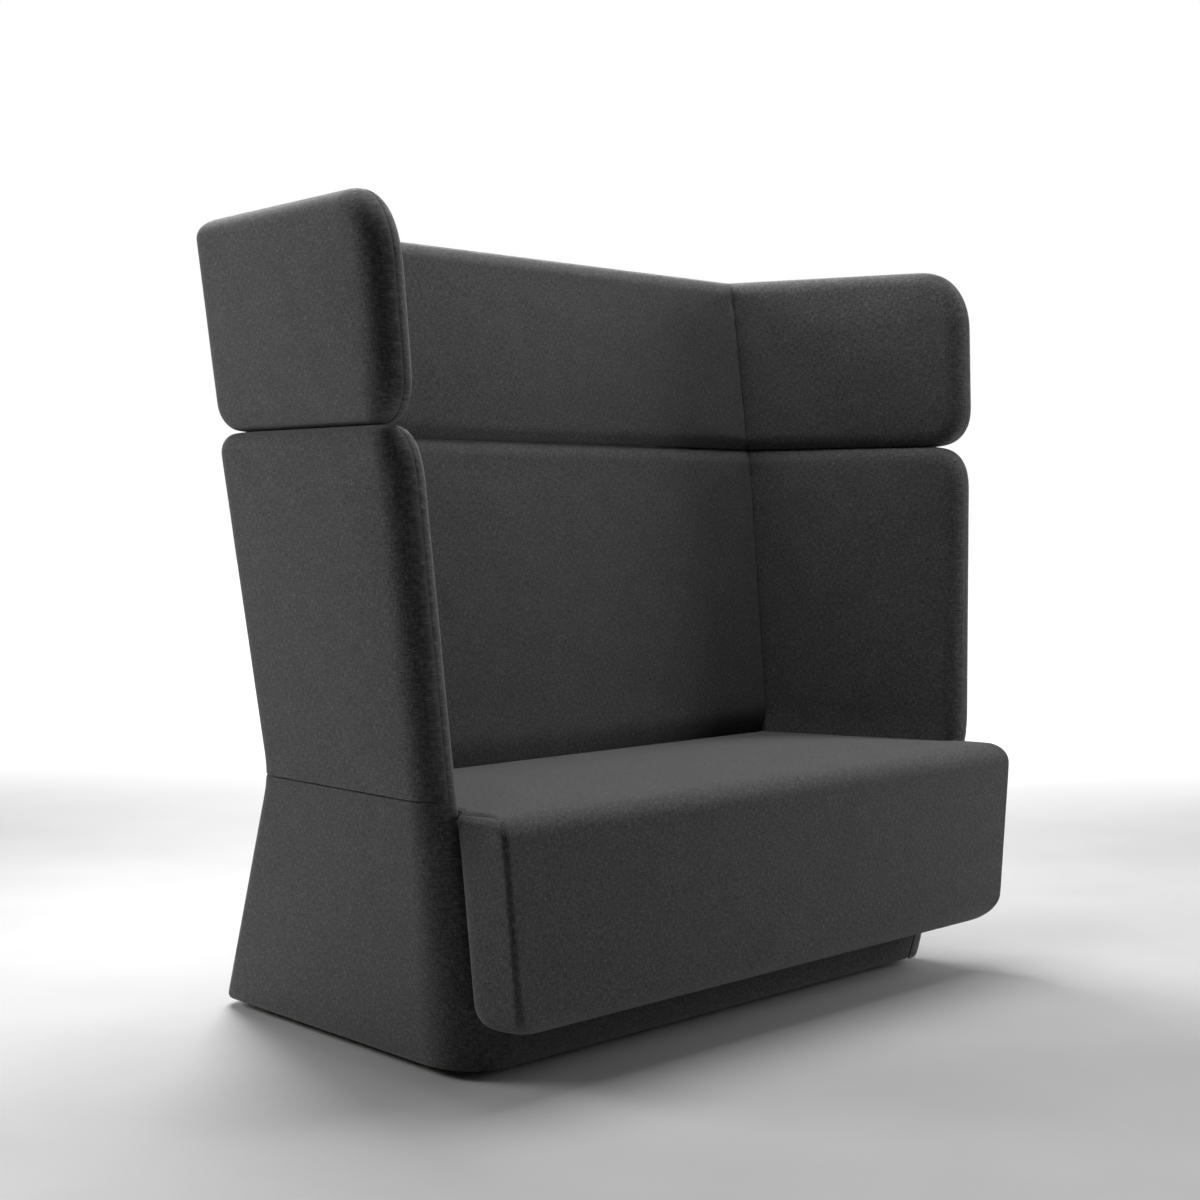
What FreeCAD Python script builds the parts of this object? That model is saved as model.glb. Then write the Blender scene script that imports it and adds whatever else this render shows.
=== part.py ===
import FreeCAD, Part
import os
from math import asin, atan2, cos, hypot, radians, sin, sqrt, tan

Vector = FreeCAD.Vector
upward = Vector(0, 0, 1)

# High-back sofa for two: a plywood base and shell in upholstered covers, a separate upholstered
# headrest band and a seat with a deep front apron. X runs to the right as seen from the front,
# Y to the back and Z up. The origin is on the floor under the middle of the sofa.

# Heights above the floor
base_clearance = 15.0
deck_underside = 300.0
seat_height = 432.0
waist_height = 452.0
crease_height = 1018.0
top_height = 1373.0

# Plan of the outer faces at those heights: front ends, rear face, and half width on the line y = 0
foot_front = -312.0
foot_rear = 445.0
waist_front = -334.0
waist_rear = 151.0
waist_half_width = 711.5
crease_front = -306.0
crease_rear = 227.0
top_front = -286.0
top_rear = 280.0
foot_draw_in = 98.5
crease_lean_out = 52.0
top_lean_out = 74.5
foot_half_width = waist_half_width - foot_draw_in
crease_half_width = waist_half_width + crease_lean_out
top_half_width = waist_half_width + top_lean_out

# Sideways opening of the walls for each millimetre towards the front
shell_splay = 0.19
head_splay = 0.22

# Walls and their rounding
wall_thickness = 80.0
plywood_thickness = 18.0
edge_round = 36.0
pillow_share = 0.46
rear_corner_round = 50.0
foot_front_round = 105.0
waist_front_round = 44.0
shell_front_top_round = 55.0
head_front_top_round = 75.0
head_front_bottom_round = 52.0
core_edge_margin = 40.0
front_seam_margin = 14.0

# Seat
apron_front = -445.0
apron_bottom = 92.0
apron_wall_overlap = 38.0
apron_side_lean = 0.115
apron_back_gap = 2.0
apron_corner_round = 48.0
apron_edge_round = 42.0
seat_crown = 9.0
seat_side_gap = 1.5
deck_thickness = 15.0
deck_front_cover = 27.0
apron_board_thickness = 15.0
apron_lower_cover = 34.0
deck_hole_diameter = 70.0
deck_hole_pitch = 460.0
deck_hole_rows = (-170.0, 20.0)

# Ribs and blocks of the base
bearer_spacing = 460.0
bearer_slot_height = 110.0
bearer_slot_length = 330.0
bearer_slot_round = 49.0
corner_block_leg = 120.0
corner_block_height = 100.0
board_opening_length = 300.0
board_opening_width = 330.0
board_opening_round = 40.0
board_opening_pitch = 390.0
board_opening_middle = 70.0
rib_pitch = 560.0
rib_thickness = 18.0

# Steel fittings
bracket_thickness = 3.0
bracket_leg = 60.0
bracket_height = 50.0
waist_leaf = 70.0
waist_bracket_pitch = 420.0
waist_bracket_side_places = (-180.0, 10.0)
shell_bracket_heights = (600.0, 880.0)
head_bracket_height = 1170.0
bar_width = 40.0
bar_thickness = 5.0
bar_leaf = 150.0
bar_pitch = 700.0
bar_side_place = 0.0
bolt_shank_diameter = 6.0
bolt_head_diameter = 14.0
bolt_head_height = 3.0
bolt_edge = 22.0
bolt_pitch = 60.0
bolt_end_margin = 2.0

# Screws of the seat and glides on the floor
screw_diameter = 5.0
screw_head_diameter = 11.0
screw_head_height = 4.0
screw_clearance = 0.3
seat_screw_length = 45.0
seat_screw_places = (-230.0, 60.0)
shank_sides = 8
hexagon_sides = 6
round_sides = 16
glide_diameter = 40.0
glide_edge_taper = 3.0
glide_well_depth = 7.0
glide_rim_inset = 62.0
dust_cover_thickness = 1.0
dust_cover_inset = 12.0

# Tolerances for picking edges: a length, and the share of a unit vector that makes a direction
near = 0.01
upright_share = 0.9

# How far past the foot the tool for a corner of the base runs, as a share of its length
corner_tool_reach = 1.25

cover_thickness = (wall_thickness - plywood_thickness) / 2.0
core_inner_depth = cover_thickness + plywood_thickness
board_top = base_clearance + plywood_thickness
deck_top = deck_underside + deck_thickness
apron_back = waist_front - apron_back_gap
mitre_reach = 2.0 * wall_thickness
pillow_round = min(edge_round, pillow_share * wall_thickness)


class Level:
    """Outer plan of the walls at one height."""

    def __init__(self, z, front, rear, half_width, splay):
        self.z = z
        self.front = front
        self.rear = rear
        self.half_width = half_width
        self.splay = splay

    def side(self, y, depth=0.0):
        """Half width at y, measured to a line that lies depth inside the outer face."""
        return self.half_width - self.splay * y - depth * hypot(1.0, self.splay)

    def left_point(self, y, depth=0.0):
        """Point of the left wall at y, depth inside its outer face."""
        return Vector(-self.side(y, depth), y, self.z)

    def rear_corner(self, depth=0.0):
        """Left rear corner of the outline that lies depth inside the outer faces."""
        return self.left_point(self.rear - depth, depth)

    def front_corner(self, depth=0.0):
        """Left front corner of the outline that lies depth inside the outer faces."""
        return self.left_point(self.front + depth, depth)


class Zone:
    """Stretch of the walls between two levels, with flat outer faces."""

    def __init__(self, lower, upper):
        self.lower = lower
        self.upper = upper

    def at(self, z):
        """Level at height z on the same flat faces."""
        share = (z - self.lower.z) / (self.upper.z - self.lower.z)
        sizes = []
        for name in ("front", "rear", "half_width"):
            start = getattr(self.lower, name)
            sizes.append(start + share * (getattr(self.upper, name) - start))
        return Level(z, *sizes, self.lower.splay)


base_zone = Zone(
    Level(base_clearance, foot_front, foot_rear, foot_half_width, shell_splay),
    Level(waist_height, waist_front, waist_rear, waist_half_width, shell_splay),
)
shell_zone = Zone(
    Level(waist_height, waist_front, waist_rear, waist_half_width, shell_splay),
    Level(crease_height, crease_front, crease_rear, crease_half_width, shell_splay),
)
head_zone = Zone(
    Level(crease_height, crease_front, crease_rear, crease_half_width, head_splay),
    Level(top_height, top_front, top_rear, top_half_width, head_splay),
)


def flip(point):
    """Mirror image of a point on the other side of the sofa."""
    return Vector(-point.x, point.y, point.z)


def mirrored(shape):
    """Mirror image of a shape on the other side of the sofa."""
    return shape.mirror(Vector(0, 0, 0), Vector(1, 0, 0))


def frustum(lower, upper):
    """Solid with flat faces between two outlines whose edges are parallel."""
    count = len(lower)
    faces = [Part.Face(Part.makePolygon(ring + ring[:1])) for ring in (lower, upper)]
    for i in range(count):
        j = (i + 1) % count
        faces.append(Part.Face(Part.makePolygon([lower[i], lower[j], upper[j], upper[i], lower[i]])))
    solid = Part.Solid(Part.Shell(faces))
    if solid.Volume < 0:
        solid.reverse()
    return solid


def block(x0, x1, y0, y1, z0, z1):
    """Upright box between its six faces."""
    return Part.makeBox(x1 - x0, y1 - y0, z1 - z0, Vector(x0, y0, z0))


def cut_all(shape, tools):
    """Shape with every tool cut away, as one solid."""
    result = shape.cut(list(tools)).removeSplitter()
    return result.Solids[0] if len(result.Solids) == 1 else result


def between(zone, z0, z1, outline):
    """Solid between two heights whose plan at each level is given by outline."""
    return frustum(outline(zone.at(z0)), outline(zone.at(z1)))


def side_panel(zone, z0, z1, inset):
    """Left plywood panel in the middle of the wall, held back from the front end by inset."""

    def outline(level):
        front = level.front + inset
        rear = level.rear - cover_thickness
        points = [level.left_point(y, cover_thickness) for y in (front, rear)]
        return points + [level.left_point(y, core_inner_depth) for y in (rear, front)]

    return between(zone, z0, z1, outline)


def cross_panel(zone, z0, z1, at_front):
    """Plywood panel of the back or the front, fitted between the two side panels."""

    def outline(level):
        if at_front:
            rows = (level.front + cover_thickness, level.front + core_inner_depth)
        else:
            rows = (level.rear - cover_thickness, level.rear - core_inner_depth)
        near, far = (level.left_point(y, core_inner_depth) for y in rows)
        return [near, flip(near), flip(far), far]

    return between(zone, z0, z1, outline)


def ring(level, depth):
    """Closed four-sided outline that lies depth inside the outer faces."""
    left = [level.front_corner(depth), level.rear_corner(depth)]
    return left + [flip(point) for point in reversed(left)]


def recess(level, gap=0.0):
    """Plan of the space between the walls, clear of them by gap, running out past their front ends."""
    depth = wall_thickness + gap
    left = [level.left_point(level.front - wall_thickness, depth), level.rear_corner(depth)]
    return left + [flip(point) for point in reversed(left)]


def left_of_mitre(zone):
    """Prism that holds all of the left wall up to the mitre at its rear corner."""
    low = zone.at(zone.lower.z - wall_thickness)
    high = zone.at(zone.upper.z + wall_thickness)
    inside = low.rear_corner(mitre_reach)
    outside = low.rear_corner() * 2.0 - inside
    along = Vector(0, 2.0 * (apron_front - foot_rear), 0)
    away = Vector(-top_half_width, 0, 0)
    outline = [inside, outside, outside + along + away, inside + along]
    face = Part.Face(Part.makePolygon(outline + outline[:1]))
    return face.extrude(high.rear_corner() - low.rear_corner())


def split_walls(solid, zone):
    """Left, back and right pieces of a U-shaped solid, parted at its mitres."""
    left_tool = left_of_mitre(zone)
    left = solid.common(left_tool).Solids[0]
    back = cut_all(solid, [left_tool, mirrored(left_tool)])
    return left, back, mirrored(left)


def rounded_wire(points, radii):
    """Closed outline of straight edges with its corners rounded, or left sharp at a radius of nought."""
    count = len(points)
    corners = []
    for i, (corner, radius) in enumerate(zip(points, radii)):
        back = (points[i - 1] - corner).normalize()
        ahead = (points[(i + 1) % count] - corner).normalize()
        half = back.getAngle(ahead) / 2.0
        reach = radius / tan(half)
        middle = corner + (back + ahead).normalize() * (radius / sin(half) - radius)
        corners.append((corner + back * reach, middle, corner + ahead * reach))
    edges = []
    for i, (start, middle, end) in enumerate(corners):
        if radii[i]:
            edges.append(Part.Arc(start, middle, end).toShape())
        edges.append(Part.LineSegment(end, corners[(i + 1) % count][0]).toShape())
    return Part.Wire(edges)


def base_front_round(z):
    """Radius of the front corners of the base at height z, which widens downwards."""
    share = (z - base_clearance) / (waist_height - base_clearance)
    return foot_front_round + share * (waist_front_round - foot_front_round)


def front_corner_tool():
    """Tool that rounds the left front edge of the base with a cone, tangent to the side and to the front.

    The cone's tip is where the radius of the rounding would come to nought on the edge, above the waist.
    """
    foot = base_zone.lower
    corner = foot.front_corner()
    rise = base_zone.upper.front_corner() - corner
    tip = corner + rise * (foot_front_round / (foot_front_round - waist_front_round))
    length = (corner - tip).Length
    down = (corner - tip).normalize()
    across = []
    for way in (Vector(foot.splay, 1.0, 0).normalize(), Vector(1, 0, 0)):
        across.append((way - down * way.dot(down)).normalize())
    inward = (across[0] + across[1]).normalize()
    half = across[0].getAngle(across[1]) / 2.0
    spread = atan2(base_front_reach(foot), length)
    lean = atan2(tan(spread), cos(half))
    opening = asin(sin(lean) * sin(half))
    depth = 2.0 * length
    axis = down * cos(lean) + inward * sin(lean)
    cone = Part.makeCone(0.0, depth * tan(opening), depth, tip, axis)
    far = tip + down * length * corner_tool_reach
    ends = [far - inward * wall_thickness]
    ends += [far + way * tan(spread) * length * corner_tool_reach for way in across]
    faces = [Part.Face(Part.makePolygon(ends + ends[:1]))]
    for i in range(3):
        faces.append(Part.Face(Part.makePolygon([tip, ends[i - 1], ends[i], tip])))
    wedge = Part.Solid(Part.Shell(faces))
    if wedge.Volume < 0:
        wedge.reverse()
    return wedge.cut(cone)


def base_envelope():
    """Outside of the base, with rear corners of one radius and front corners that widen downwards."""
    body = between(base_zone, base_clearance, waist_height, lambda level: ring(level, 0.0))
    rear_edges = []
    for edge in body.Edges:
        ends = [vertex.Point for vertex in edge.Vertexes]
        if abs(ends[0].z - ends[1].z) > near and edge.CenterOfMass.y > 0.0:
            rear_edges.append(edge)
    body = body.makeFillet(rear_corner_round, rear_edges)
    tool = front_corner_tool()
    return cut_all(body, [tool, mirrored(tool)])


def base_front_reach(level, depth=0.0):
    """Length that the rounding of a front corner takes of each edge, depth inside the outer faces."""
    return (base_front_round(level.z) - depth) / tan(atan2(1.0, level.splay) / 2.0)


def bevelled_ring(level, depth):
    """Outline that lies depth inside the faces of the base, with its front corners sawn off flat."""
    corner = level.front_corner(depth)
    reach = base_front_reach(level, depth)
    along_side = Vector(level.splay, 1.0, 0).normalize() * reach
    left = [corner + Vector(reach, 0, 0), corner + along_side, level.rear_corner(depth)]
    return left + [flip(point) for point in reversed(left)]


def core_plan(level):
    """Plan of the room for the plywood inside the covers of the base."""
    return bevelled_ring(level, cover_thickness)


def front_strip(level):
    """Plan of a strip along the front of the base, that ends a seam margin inside its rounded corners."""
    end = level.side(level.front) - base_front_reach(level) - front_seam_margin
    ahead, behind = (Vector(-end, level.front + step, level.z) for step in (-wall_thickness, wall_thickness))
    return [ahead, behind, flip(behind), flip(ahead)]


def drawn_in(drop, radius):
    """Inset of an edge rounded by radius, at a drop below its crest."""
    return radius - sqrt(radius ** 2 - (radius - drop) ** 2) if drop < radius else 0.0


def crest_drops(corner_round):
    """Drops below the crest of a band at which its outline is drawn, from the widest to the crest."""
    pillow = [pillow_round * (1.0 - sin(radians(turn))) for turn in (0.0, 30.0, 60.0, 90.0)]
    return [corner_round] + pillow


def band_outline(level, drop, corner_round):
    """Plan of the three walls at a drop below a crest, with rounded ends and rear corners."""
    inset = drawn_in(drop, pillow_round)
    front = level.front + drawn_in(drop, corner_round)
    outer = [level.left_point(front, inset), level.rear_corner(inset)]
    inner = [level.rear_corner(wall_thickness - inset), level.left_point(front, wall_thickness - inset)]
    end = pillow_share * (wall_thickness - 2.0 * inset)
    rear = rear_corner_round - inset
    left = outer + [flip(point) for point in reversed(outer)]
    right = [flip(point) for point in reversed(inner)] + inner
    return rounded_wire(left + right, (end, rear, rear, end, end, 0.0, 0.0, end))


def wall_band(zone, top_round, bottom_round):
    """Padded band round the two sides and the back, lofted through its plans, with pillow edges."""
    low = zone.lower.z
    high = zone.upper.z
    outlines = []
    if bottom_round:
        for drop in reversed(crest_drops(bottom_round)):
            outlines.append(band_outline(zone.at(low + drop), drop, bottom_round))
    else:
        outlines.append(band_outline(zone.lower, high - low, top_round))
    for drop in crest_drops(top_round):
        outlines.append(band_outline(zone.at(high - drop), drop, top_round))
    return Part.makeLoft(outlines, True, True)


def patch_on_back(zone, z0, z1, x, width, depth, thickness):
    """Flat plate on the inner side of a back panel, centred at x."""

    def outline(level):
        rows = (level.rear - depth, level.rear - depth - thickness)
        near, far = ([Vector(x + s * width / 2.0, y, level.z) for s in (-1, 1)] for y in rows)
        return near + far[::-1]

    return between(zone, z0, z1, outline)


def patch_on_side(zone, z0, z1, y, width, depth, thickness):
    """Flat plate on the inner side of the left panel, centred at y."""

    def outline(level):
        ends = (y - width / 2.0, y + width / 2.0)
        near = [level.left_point(end, depth) for end in ends]
        return near + [level.left_point(end, depth + thickness) for end in ends[::-1]]

    return between(zone, z0, z1, outline)


def bent_plate(patch, lower_zone, upper_zone, z, leaf, place, width, thickness):
    """Folded plate with one leaf on the panel below height z and one on the panel above it."""
    below = patch(lower_zone, z - leaf, z, place, width, core_inner_depth, thickness)
    above = patch(upper_zone, z, z + leaf, place, width, core_inner_depth, thickness)
    return below.fuse(above).removeSplitter().Solids[0]


def waist_brackets():
    """Folded plates that carry the shell on the base, three behind and two at each side."""
    plates = []
    for step in (-1, 0, 1):
        place = step * waist_bracket_pitch
        plates.append(bent_plate(patch_on_back, base_zone, shell_zone, waist_height, waist_leaf, place,
                                 bracket_leg, bracket_thickness))
    for place in waist_bracket_side_places:
        plate = bent_plate(patch_on_side, base_zone, shell_zone, waist_height, waist_leaf, place,
                           bracket_leg, bracket_thickness)
        plates += [plate, mirrored(plate)]
    return plates


def head_bars():
    """Flat steel bars that carry the headrest, two behind and one at each side."""
    bars = []
    for step in (-0.5, 0.5):
        bars.append(bent_plate(patch_on_back, shell_zone, head_zone, crease_height, bar_leaf,
                               step * bar_pitch, bar_width, bar_thickness))
    bar = bent_plate(patch_on_side, shell_zone, head_zone, crease_height, bar_leaf, bar_side_place,
                     bar_width, bar_thickness)
    return bars + [bar, mirrored(bar)]


def corner_bracket(zone, z):
    """Left steel angle in the corner of the side and back panels, standing on height z."""

    def outline(level):
        along_side = Vector(-level.splay, -1.0, 0).normalize() * bracket_leg
        along_back = Vector(bracket_leg, 0, 0)
        corner = level.rear_corner(core_inner_depth)
        inner = level.rear_corner(core_inner_depth + bracket_thickness)
        from_side = Vector(1.0, -level.splay, 0).normalize() * bracket_thickness
        from_back = Vector(0, -bracket_thickness, 0)
        side_end = corner + along_side
        back_end = corner + along_back
        return [side_end, corner, back_end, back_end + from_back, inner, side_end + from_side]

    return between(zone, z, z + bracket_height, outline)


def corner_block(at_front):
    """Left glued block between the board, a side panel and the front or back panel."""

    def outline(level):
        toward = 1.0 if at_front else -1.0
        corner = (level.front_corner if at_front else level.rear_corner)(core_inner_depth)
        along_side = Vector(level.splay, 1.0, 0).normalize() * (corner_block_leg * toward)
        return [corner, corner + along_side, corner + Vector(corner_block_leg, 0, 0)]

    return between(base_zone, board_top, board_top + corner_block_height, outline)


def rounded_opening(x, y, length, width, radius, z0, z1):
    """Upright tool for a rectangular opening with rounded corners, centred at x, y."""
    tool = block(x - length / 2.0, x + length / 2.0, y - width / 2.0, y + width / 2.0, z0, z1)
    upright = [edge for edge in tool.Edges if abs(edge.tangentAt(edge.FirstParameter).z) > upright_share]
    return tool.makeFillet(radius, upright)


def glide_places():
    """Middle points of the six glides, set in from the outline of the foot."""
    foot = base_zone.lower
    front = foot.front_corner(glide_rim_inset + cover_thickness)
    rear = foot.rear_corner(glide_rim_inset + cover_thickness)
    places = []
    for corner in (front, rear):
        places += [corner, Vector(0, corner.y, corner.z), flip(corner)]
    return [Vector(place.x, place.y, 0) for place in places]


def rod(point, way, radius, length, sides=shank_sides):
    """Straight rod with flat sides that starts at a point and runs along a unit vector."""
    across = way.cross(Vector(0, 1, 0) if abs(way.y) < abs(way.z) else Vector(0, 0, 1)).normalize()
    corners = []
    for i in range(sides):
        turn = FreeCAD.Rotation(way, 360.0 * i / sides)
        corners.append(point + turn.multVec(across) * radius)
    return Part.Face(Part.makePolygon(corners + corners[:1])).extrude(way * length)


def glide():
    """Plastic glide with a tapered rim underneath and a well for its screw."""
    radius = glide_diameter / 2.0
    foot, waist = [], []
    for i in range(round_sides):
        spoke = FreeCAD.Rotation(upward, 360.0 * i / round_sides).multVec(Vector(1, 0, 0))
        foot.append(spoke * (radius - glide_edge_taper))
        waist.append(spoke * radius + upward * glide_edge_taper)
    body = frustum(foot, waist).fuse(
        Part.Face(Part.makePolygon(waist + waist[:1])).extrude(upward * (base_clearance - glide_edge_taper)))
    well = rod(Vector(0, 0, 0), upward, screw_head_diameter / 2.0 + screw_clearance, glide_well_depth)
    hole = rod(Vector(0, 0, 0), upward, screw_diameter / 2.0 + screw_clearance, base_clearance)
    return cut_all(body, [well, hole])


def screw(length):
    """Screw that points up, with the underside of its head on the origin's level."""
    head = rod(upward * -screw_head_height, upward, screw_head_diameter / 2.0, screw_head_height)
    shank = rod(Vector(0, 0, 0), upward, screw_diameter / 2.0, length)
    return head.fuse(shank).removeSplitter().Solids[0]


def placed(shape, place, turned=False):
    """Copy of a shape at a place, upside down if turned."""
    copy = shape.copy()
    if turned:
        copy.rotate(Vector(0, 0, 0), Vector(1, 0, 0), 180)
    copy.translate(place)
    return copy


def bolt(point, inward):
    """Headrest bolt with its hexagon head on a bar at point and its shank through the panel behind."""
    length = bar_thickness + plywood_thickness - bolt_end_margin
    head = rod(point, inward, bolt_head_diameter / 2.0, bolt_head_height, hexagon_sides)
    shank = rod(point, inward * -1.0, bolt_shank_diameter / 2.0, length)
    return head.fuse(shank).removeSplitter().Solids[0]


def bolt_hole(point, inward):
    """Tool for the hole of a headrest bolt through its bar and panel."""
    length = bar_thickness + 2.0 * plywood_thickness
    radius = bolt_shank_diameter / 2.0 + screw_clearance
    return rod(point + inward * bolt_head_height, inward * -1.0, radius, length)


def bolt_head_room(point, inward):
    """Tool for the room that a cover leaves for the head of a headrest bolt."""
    radius = bolt_head_diameter / 2.0 + screw_clearance
    return rod(point, inward, radius, bolt_head_height + screw_clearance, hexagon_sides)


def bolt_places():
    """Points on the inner faces of the bars, with the direction into the sitting space."""
    depth = core_inner_depth + bar_thickness
    places = []
    for zone, way in ((shell_zone, -1.0), (head_zone, 1.0)):
        first = bar_leaf - bolt_edge
        for drop in (first, first - bolt_pitch):
            level = zone.at(crease_height + way * drop)
            higher = zone.at(level.z + 1.0)
            for step in (-0.5, 0.5):
                point = Vector(step * bar_pitch, level.rear - depth, level.z)
                rise = Vector(0, higher.rear - level.rear, 1.0)
                places.append((point, rise.cross(Vector(-1, 0, 0)).normalize()))
            point = level.left_point(bar_side_place, depth)
            rise = higher.left_point(bar_side_place, depth) - point
            inward = rise.cross(Vector(level.splay, 1.0, 0)).normalize() * -1.0
            places += [(point, inward), (flip(point), flip(inward))]
    return places


def bearer(x):
    """Upright plywood rib under the seat deck, from the front panel to the back panel."""
    low = base_zone.at(board_top)
    high = base_zone.at(deck_underside)
    profile = [
        Vector(x, low.front + core_inner_depth, board_top),
        Vector(x, low.rear - core_inner_depth, board_top),
        Vector(x, high.rear - core_inner_depth, deck_underside),
        Vector(x, high.front + core_inner_depth, deck_underside),
    ]
    rib = Part.Face(Part.makePolygon(profile + profile[:1])).extrude(Vector(plywood_thickness, 0, 0))
    middle_y = (high.front + high.rear) / 2.0
    middle_z = (board_top + deck_underside) / 2.0
    slot = rounded_opening(-middle_z, middle_y, bearer_slot_height, bearer_slot_length,
                           bearer_slot_round, x - plywood_thickness, x + 2.0 * plywood_thickness)
    slot.rotate(Vector(x, 0, 0), Vector(0, 1, 0), 90)
    slot.translate(Vector(-x, 0, x))
    return rib.cut(slot)


def wall_zone(z):
    """Stretch of the walls that holds height z, below or above the waist."""
    return base_zone if z <= waist_height else shell_zone


def seat_plan(level):
    """Plan of the space for the seat between the walls."""
    return recess(level, seat_side_gap)


def apron_side(z):
    """Half width of the apron at height z, where it laps over the ends of the walls."""
    inner = base_zone.at(seat_height - seat_crown).side(waist_front, wall_thickness)
    return inner + apron_wall_overlap - apron_side_lean * (seat_height - seat_crown - z)


def apron_plan(z):
    """Plan of the apron at height z."""
    half = apron_side(z)
    rows = [(-half, apron_front), (-half, apron_back), (half, apron_back), (half, apron_front)]
    return [Vector(x, y, z) for x, y in rows]


def deck_outline(front):
    """Plan of the seat deck, clear of the walls at its narrower underside and its shorter top."""
    depth = wall_thickness + seat_side_gap
    level = base_zone.at(deck_underside)
    rear_y = base_zone.at(deck_top).rear - depth
    rear = level.left_point(rear_y, depth)
    ahead = level.left_point(front, depth)
    return [ahead, rear, flip(rear), flip(ahead)]


nodes = {}

# Plywood base: board on the floor side, panels round it, ribs and blocks inside
core_room = between(base_zone, base_clearance, waist_height, core_plan)
side_base = side_panel(base_zone, board_top, waist_height, cover_thickness).common(core_room).Solids[0]
back_base = cross_panel(base_zone, board_top, waist_height, False)
front_base = cross_panel(base_zone, board_top, deck_underside, True).common(core_room).Solids[0]
bearers = []
for step in (-0.5, 0.5):
    bearers.append(bearer(step * bearer_spacing - plywood_thickness / 2.0))
blocks = []
for at_front in (True, False):
    corner = corner_block(at_front).common(core_room).Solids[0]
    blocks += [corner, mirrored(corner)]

glide_screw_length = base_clearance - glide_well_depth + plywood_thickness
glides = [placed(glide(), place) for place in glide_places()]
glide_screws = []
for place in glide_places():
    glide_screws.append(placed(screw(glide_screw_length), place + Vector(0, 0, glide_well_depth)))
board = between(base_zone, base_clearance, board_top, core_plan)
openings = []
for step in (-1, 0, 1):
    openings.append(rounded_opening(step * board_opening_pitch, board_opening_middle, board_opening_length,
                                    board_opening_width, board_opening_round, 0.0, waist_height))
screw_bore = screw_diameter / 2.0 + screw_clearance
pilot_holes = [rod(place, upward, screw_bore, waist_height) for place in glide_places()]
base_board = cut_all(board, openings + pilot_holes)

cover_low = base_clearance - dust_cover_thickness
cover_depth = cover_thickness + dust_cover_inset
dust_sheet = between(base_zone, cover_low, base_clearance, lambda level: bevelled_ring(level, cover_depth))
glide_bore = glide_diameter / 2.0 + screw_clearance
glide_holes = []
for place in glide_places():
    glide_holes.append(rod(place, upward, glide_bore, base_clearance, round_sides))
dust_cover = cut_all(dust_sheet, glide_holes)

# Seat deck with its apron board and ribs, screwed down on the ribs of the base
deck_front = apron_front + deck_front_cover
deck_level = base_zone.at(deck_underside)
deck_points = deck_outline(deck_front)
deck = Part.Face(Part.makePolygon(deck_points + deck_points[:1])).extrude(Vector(0, 0, deck_thickness))
deck_tools = []
for row in deck_hole_rows:
    for step in (-1, 0, 1):
        place = Vector(step * deck_hole_pitch, row, 0)
        deck_tools.append(rod(place, upward, deck_hole_diameter / 2.0, waist_height, round_sides))
seat_screws = []
seat_bores = []
seat_screw = screw(seat_screw_length)
for step in (-0.5, 0.5):
    for row in seat_screw_places:
        place = Vector(step * bearer_spacing, row, deck_top - screw_head_height)
        seat_screws.append(placed(seat_screw, place, True))
        low = place - Vector(0, 0, seat_screw_length + screw_clearance)
        seat_bores.append(rod(low, upward, screw_bore, seat_screw_length + screw_clearance))
        deck_tools.append(rod(place, upward, screw_head_diameter / 2.0 + screw_clearance, waist_height))
seat_deck = cut_all(deck, deck_tools + seat_bores)
bearers = [cut_all(rib, seat_bores) for rib in bearers]

apron_low = apron_bottom + apron_lower_cover
board_half = deck_level.side(deck_front, wall_thickness + seat_side_gap)
rib_front = deck_front + apron_board_thickness
apron_board = block(-board_half, board_half, deck_front, rib_front, apron_low, deck_underside)
apron_ribs = []
for step in (-1, 0, 1):
    x = step * rib_pitch - rib_thickness / 2.0
    apron_ribs.append(block(x, x + rib_thickness, rib_front, apron_back, apron_low, deck_underside))

# Seat cushion: crowned top between the walls, rolled over the apron in front of them
edge_height = seat_height - seat_crown
rear_high = wall_zone(edge_height).at(edge_height).rear - wall_thickness - seat_side_gap
crown_middle = Vector(0, (apron_front + rear_high) / 2.0, seat_height)
corners = [
    Vector(0, rear_high, edge_height),
    Vector(0, foot_rear, edge_height),
    Vector(0, foot_rear, deck_top),
    Vector(0, apron_back, deck_top),
    Vector(0, apron_back, apron_bottom),
    Vector(0, apron_front, apron_bottom),
    Vector(0, apron_front, edge_height),
]
crown = Part.Arc(corners[0], crown_middle, corners[-1]).toShape()
profile = Part.Wire([Part.makePolygon(corners), crown])
cushion = Part.Face(profile).extrude(Vector(2.0 * top_half_width, 0, 0))
cushion.translate(Vector(-top_half_width, 0, 0))
apron_shape = frustum(apron_plan(apron_bottom), apron_plan(seat_height))
seat_room = between(base_zone, base_clearance, waist_height, seat_plan)
upper_room = between(shell_zone, waist_height, crease_height, seat_plan)
behind_apron = block(-top_half_width, top_half_width, apron_back, foot_rear, base_clearance, crease_height)
seat_between = cushion.common(behind_apron).common([seat_room, upper_room])
cushion = cushion.common(apron_shape).fuse(seat_between).removeSplitter().Solids[0]
front_corners = []
for edge in cushion.Edges:
    upright = abs(edge.tangentAt(edge.FirstParameter).z) > upright_share
    if upright and edge.CenterOfMass.y < apron_front + near:
        front_corners.append(edge)
cushion = cushion.makeFillet(apron_corner_round, front_corners)
apron_rim = []
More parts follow.
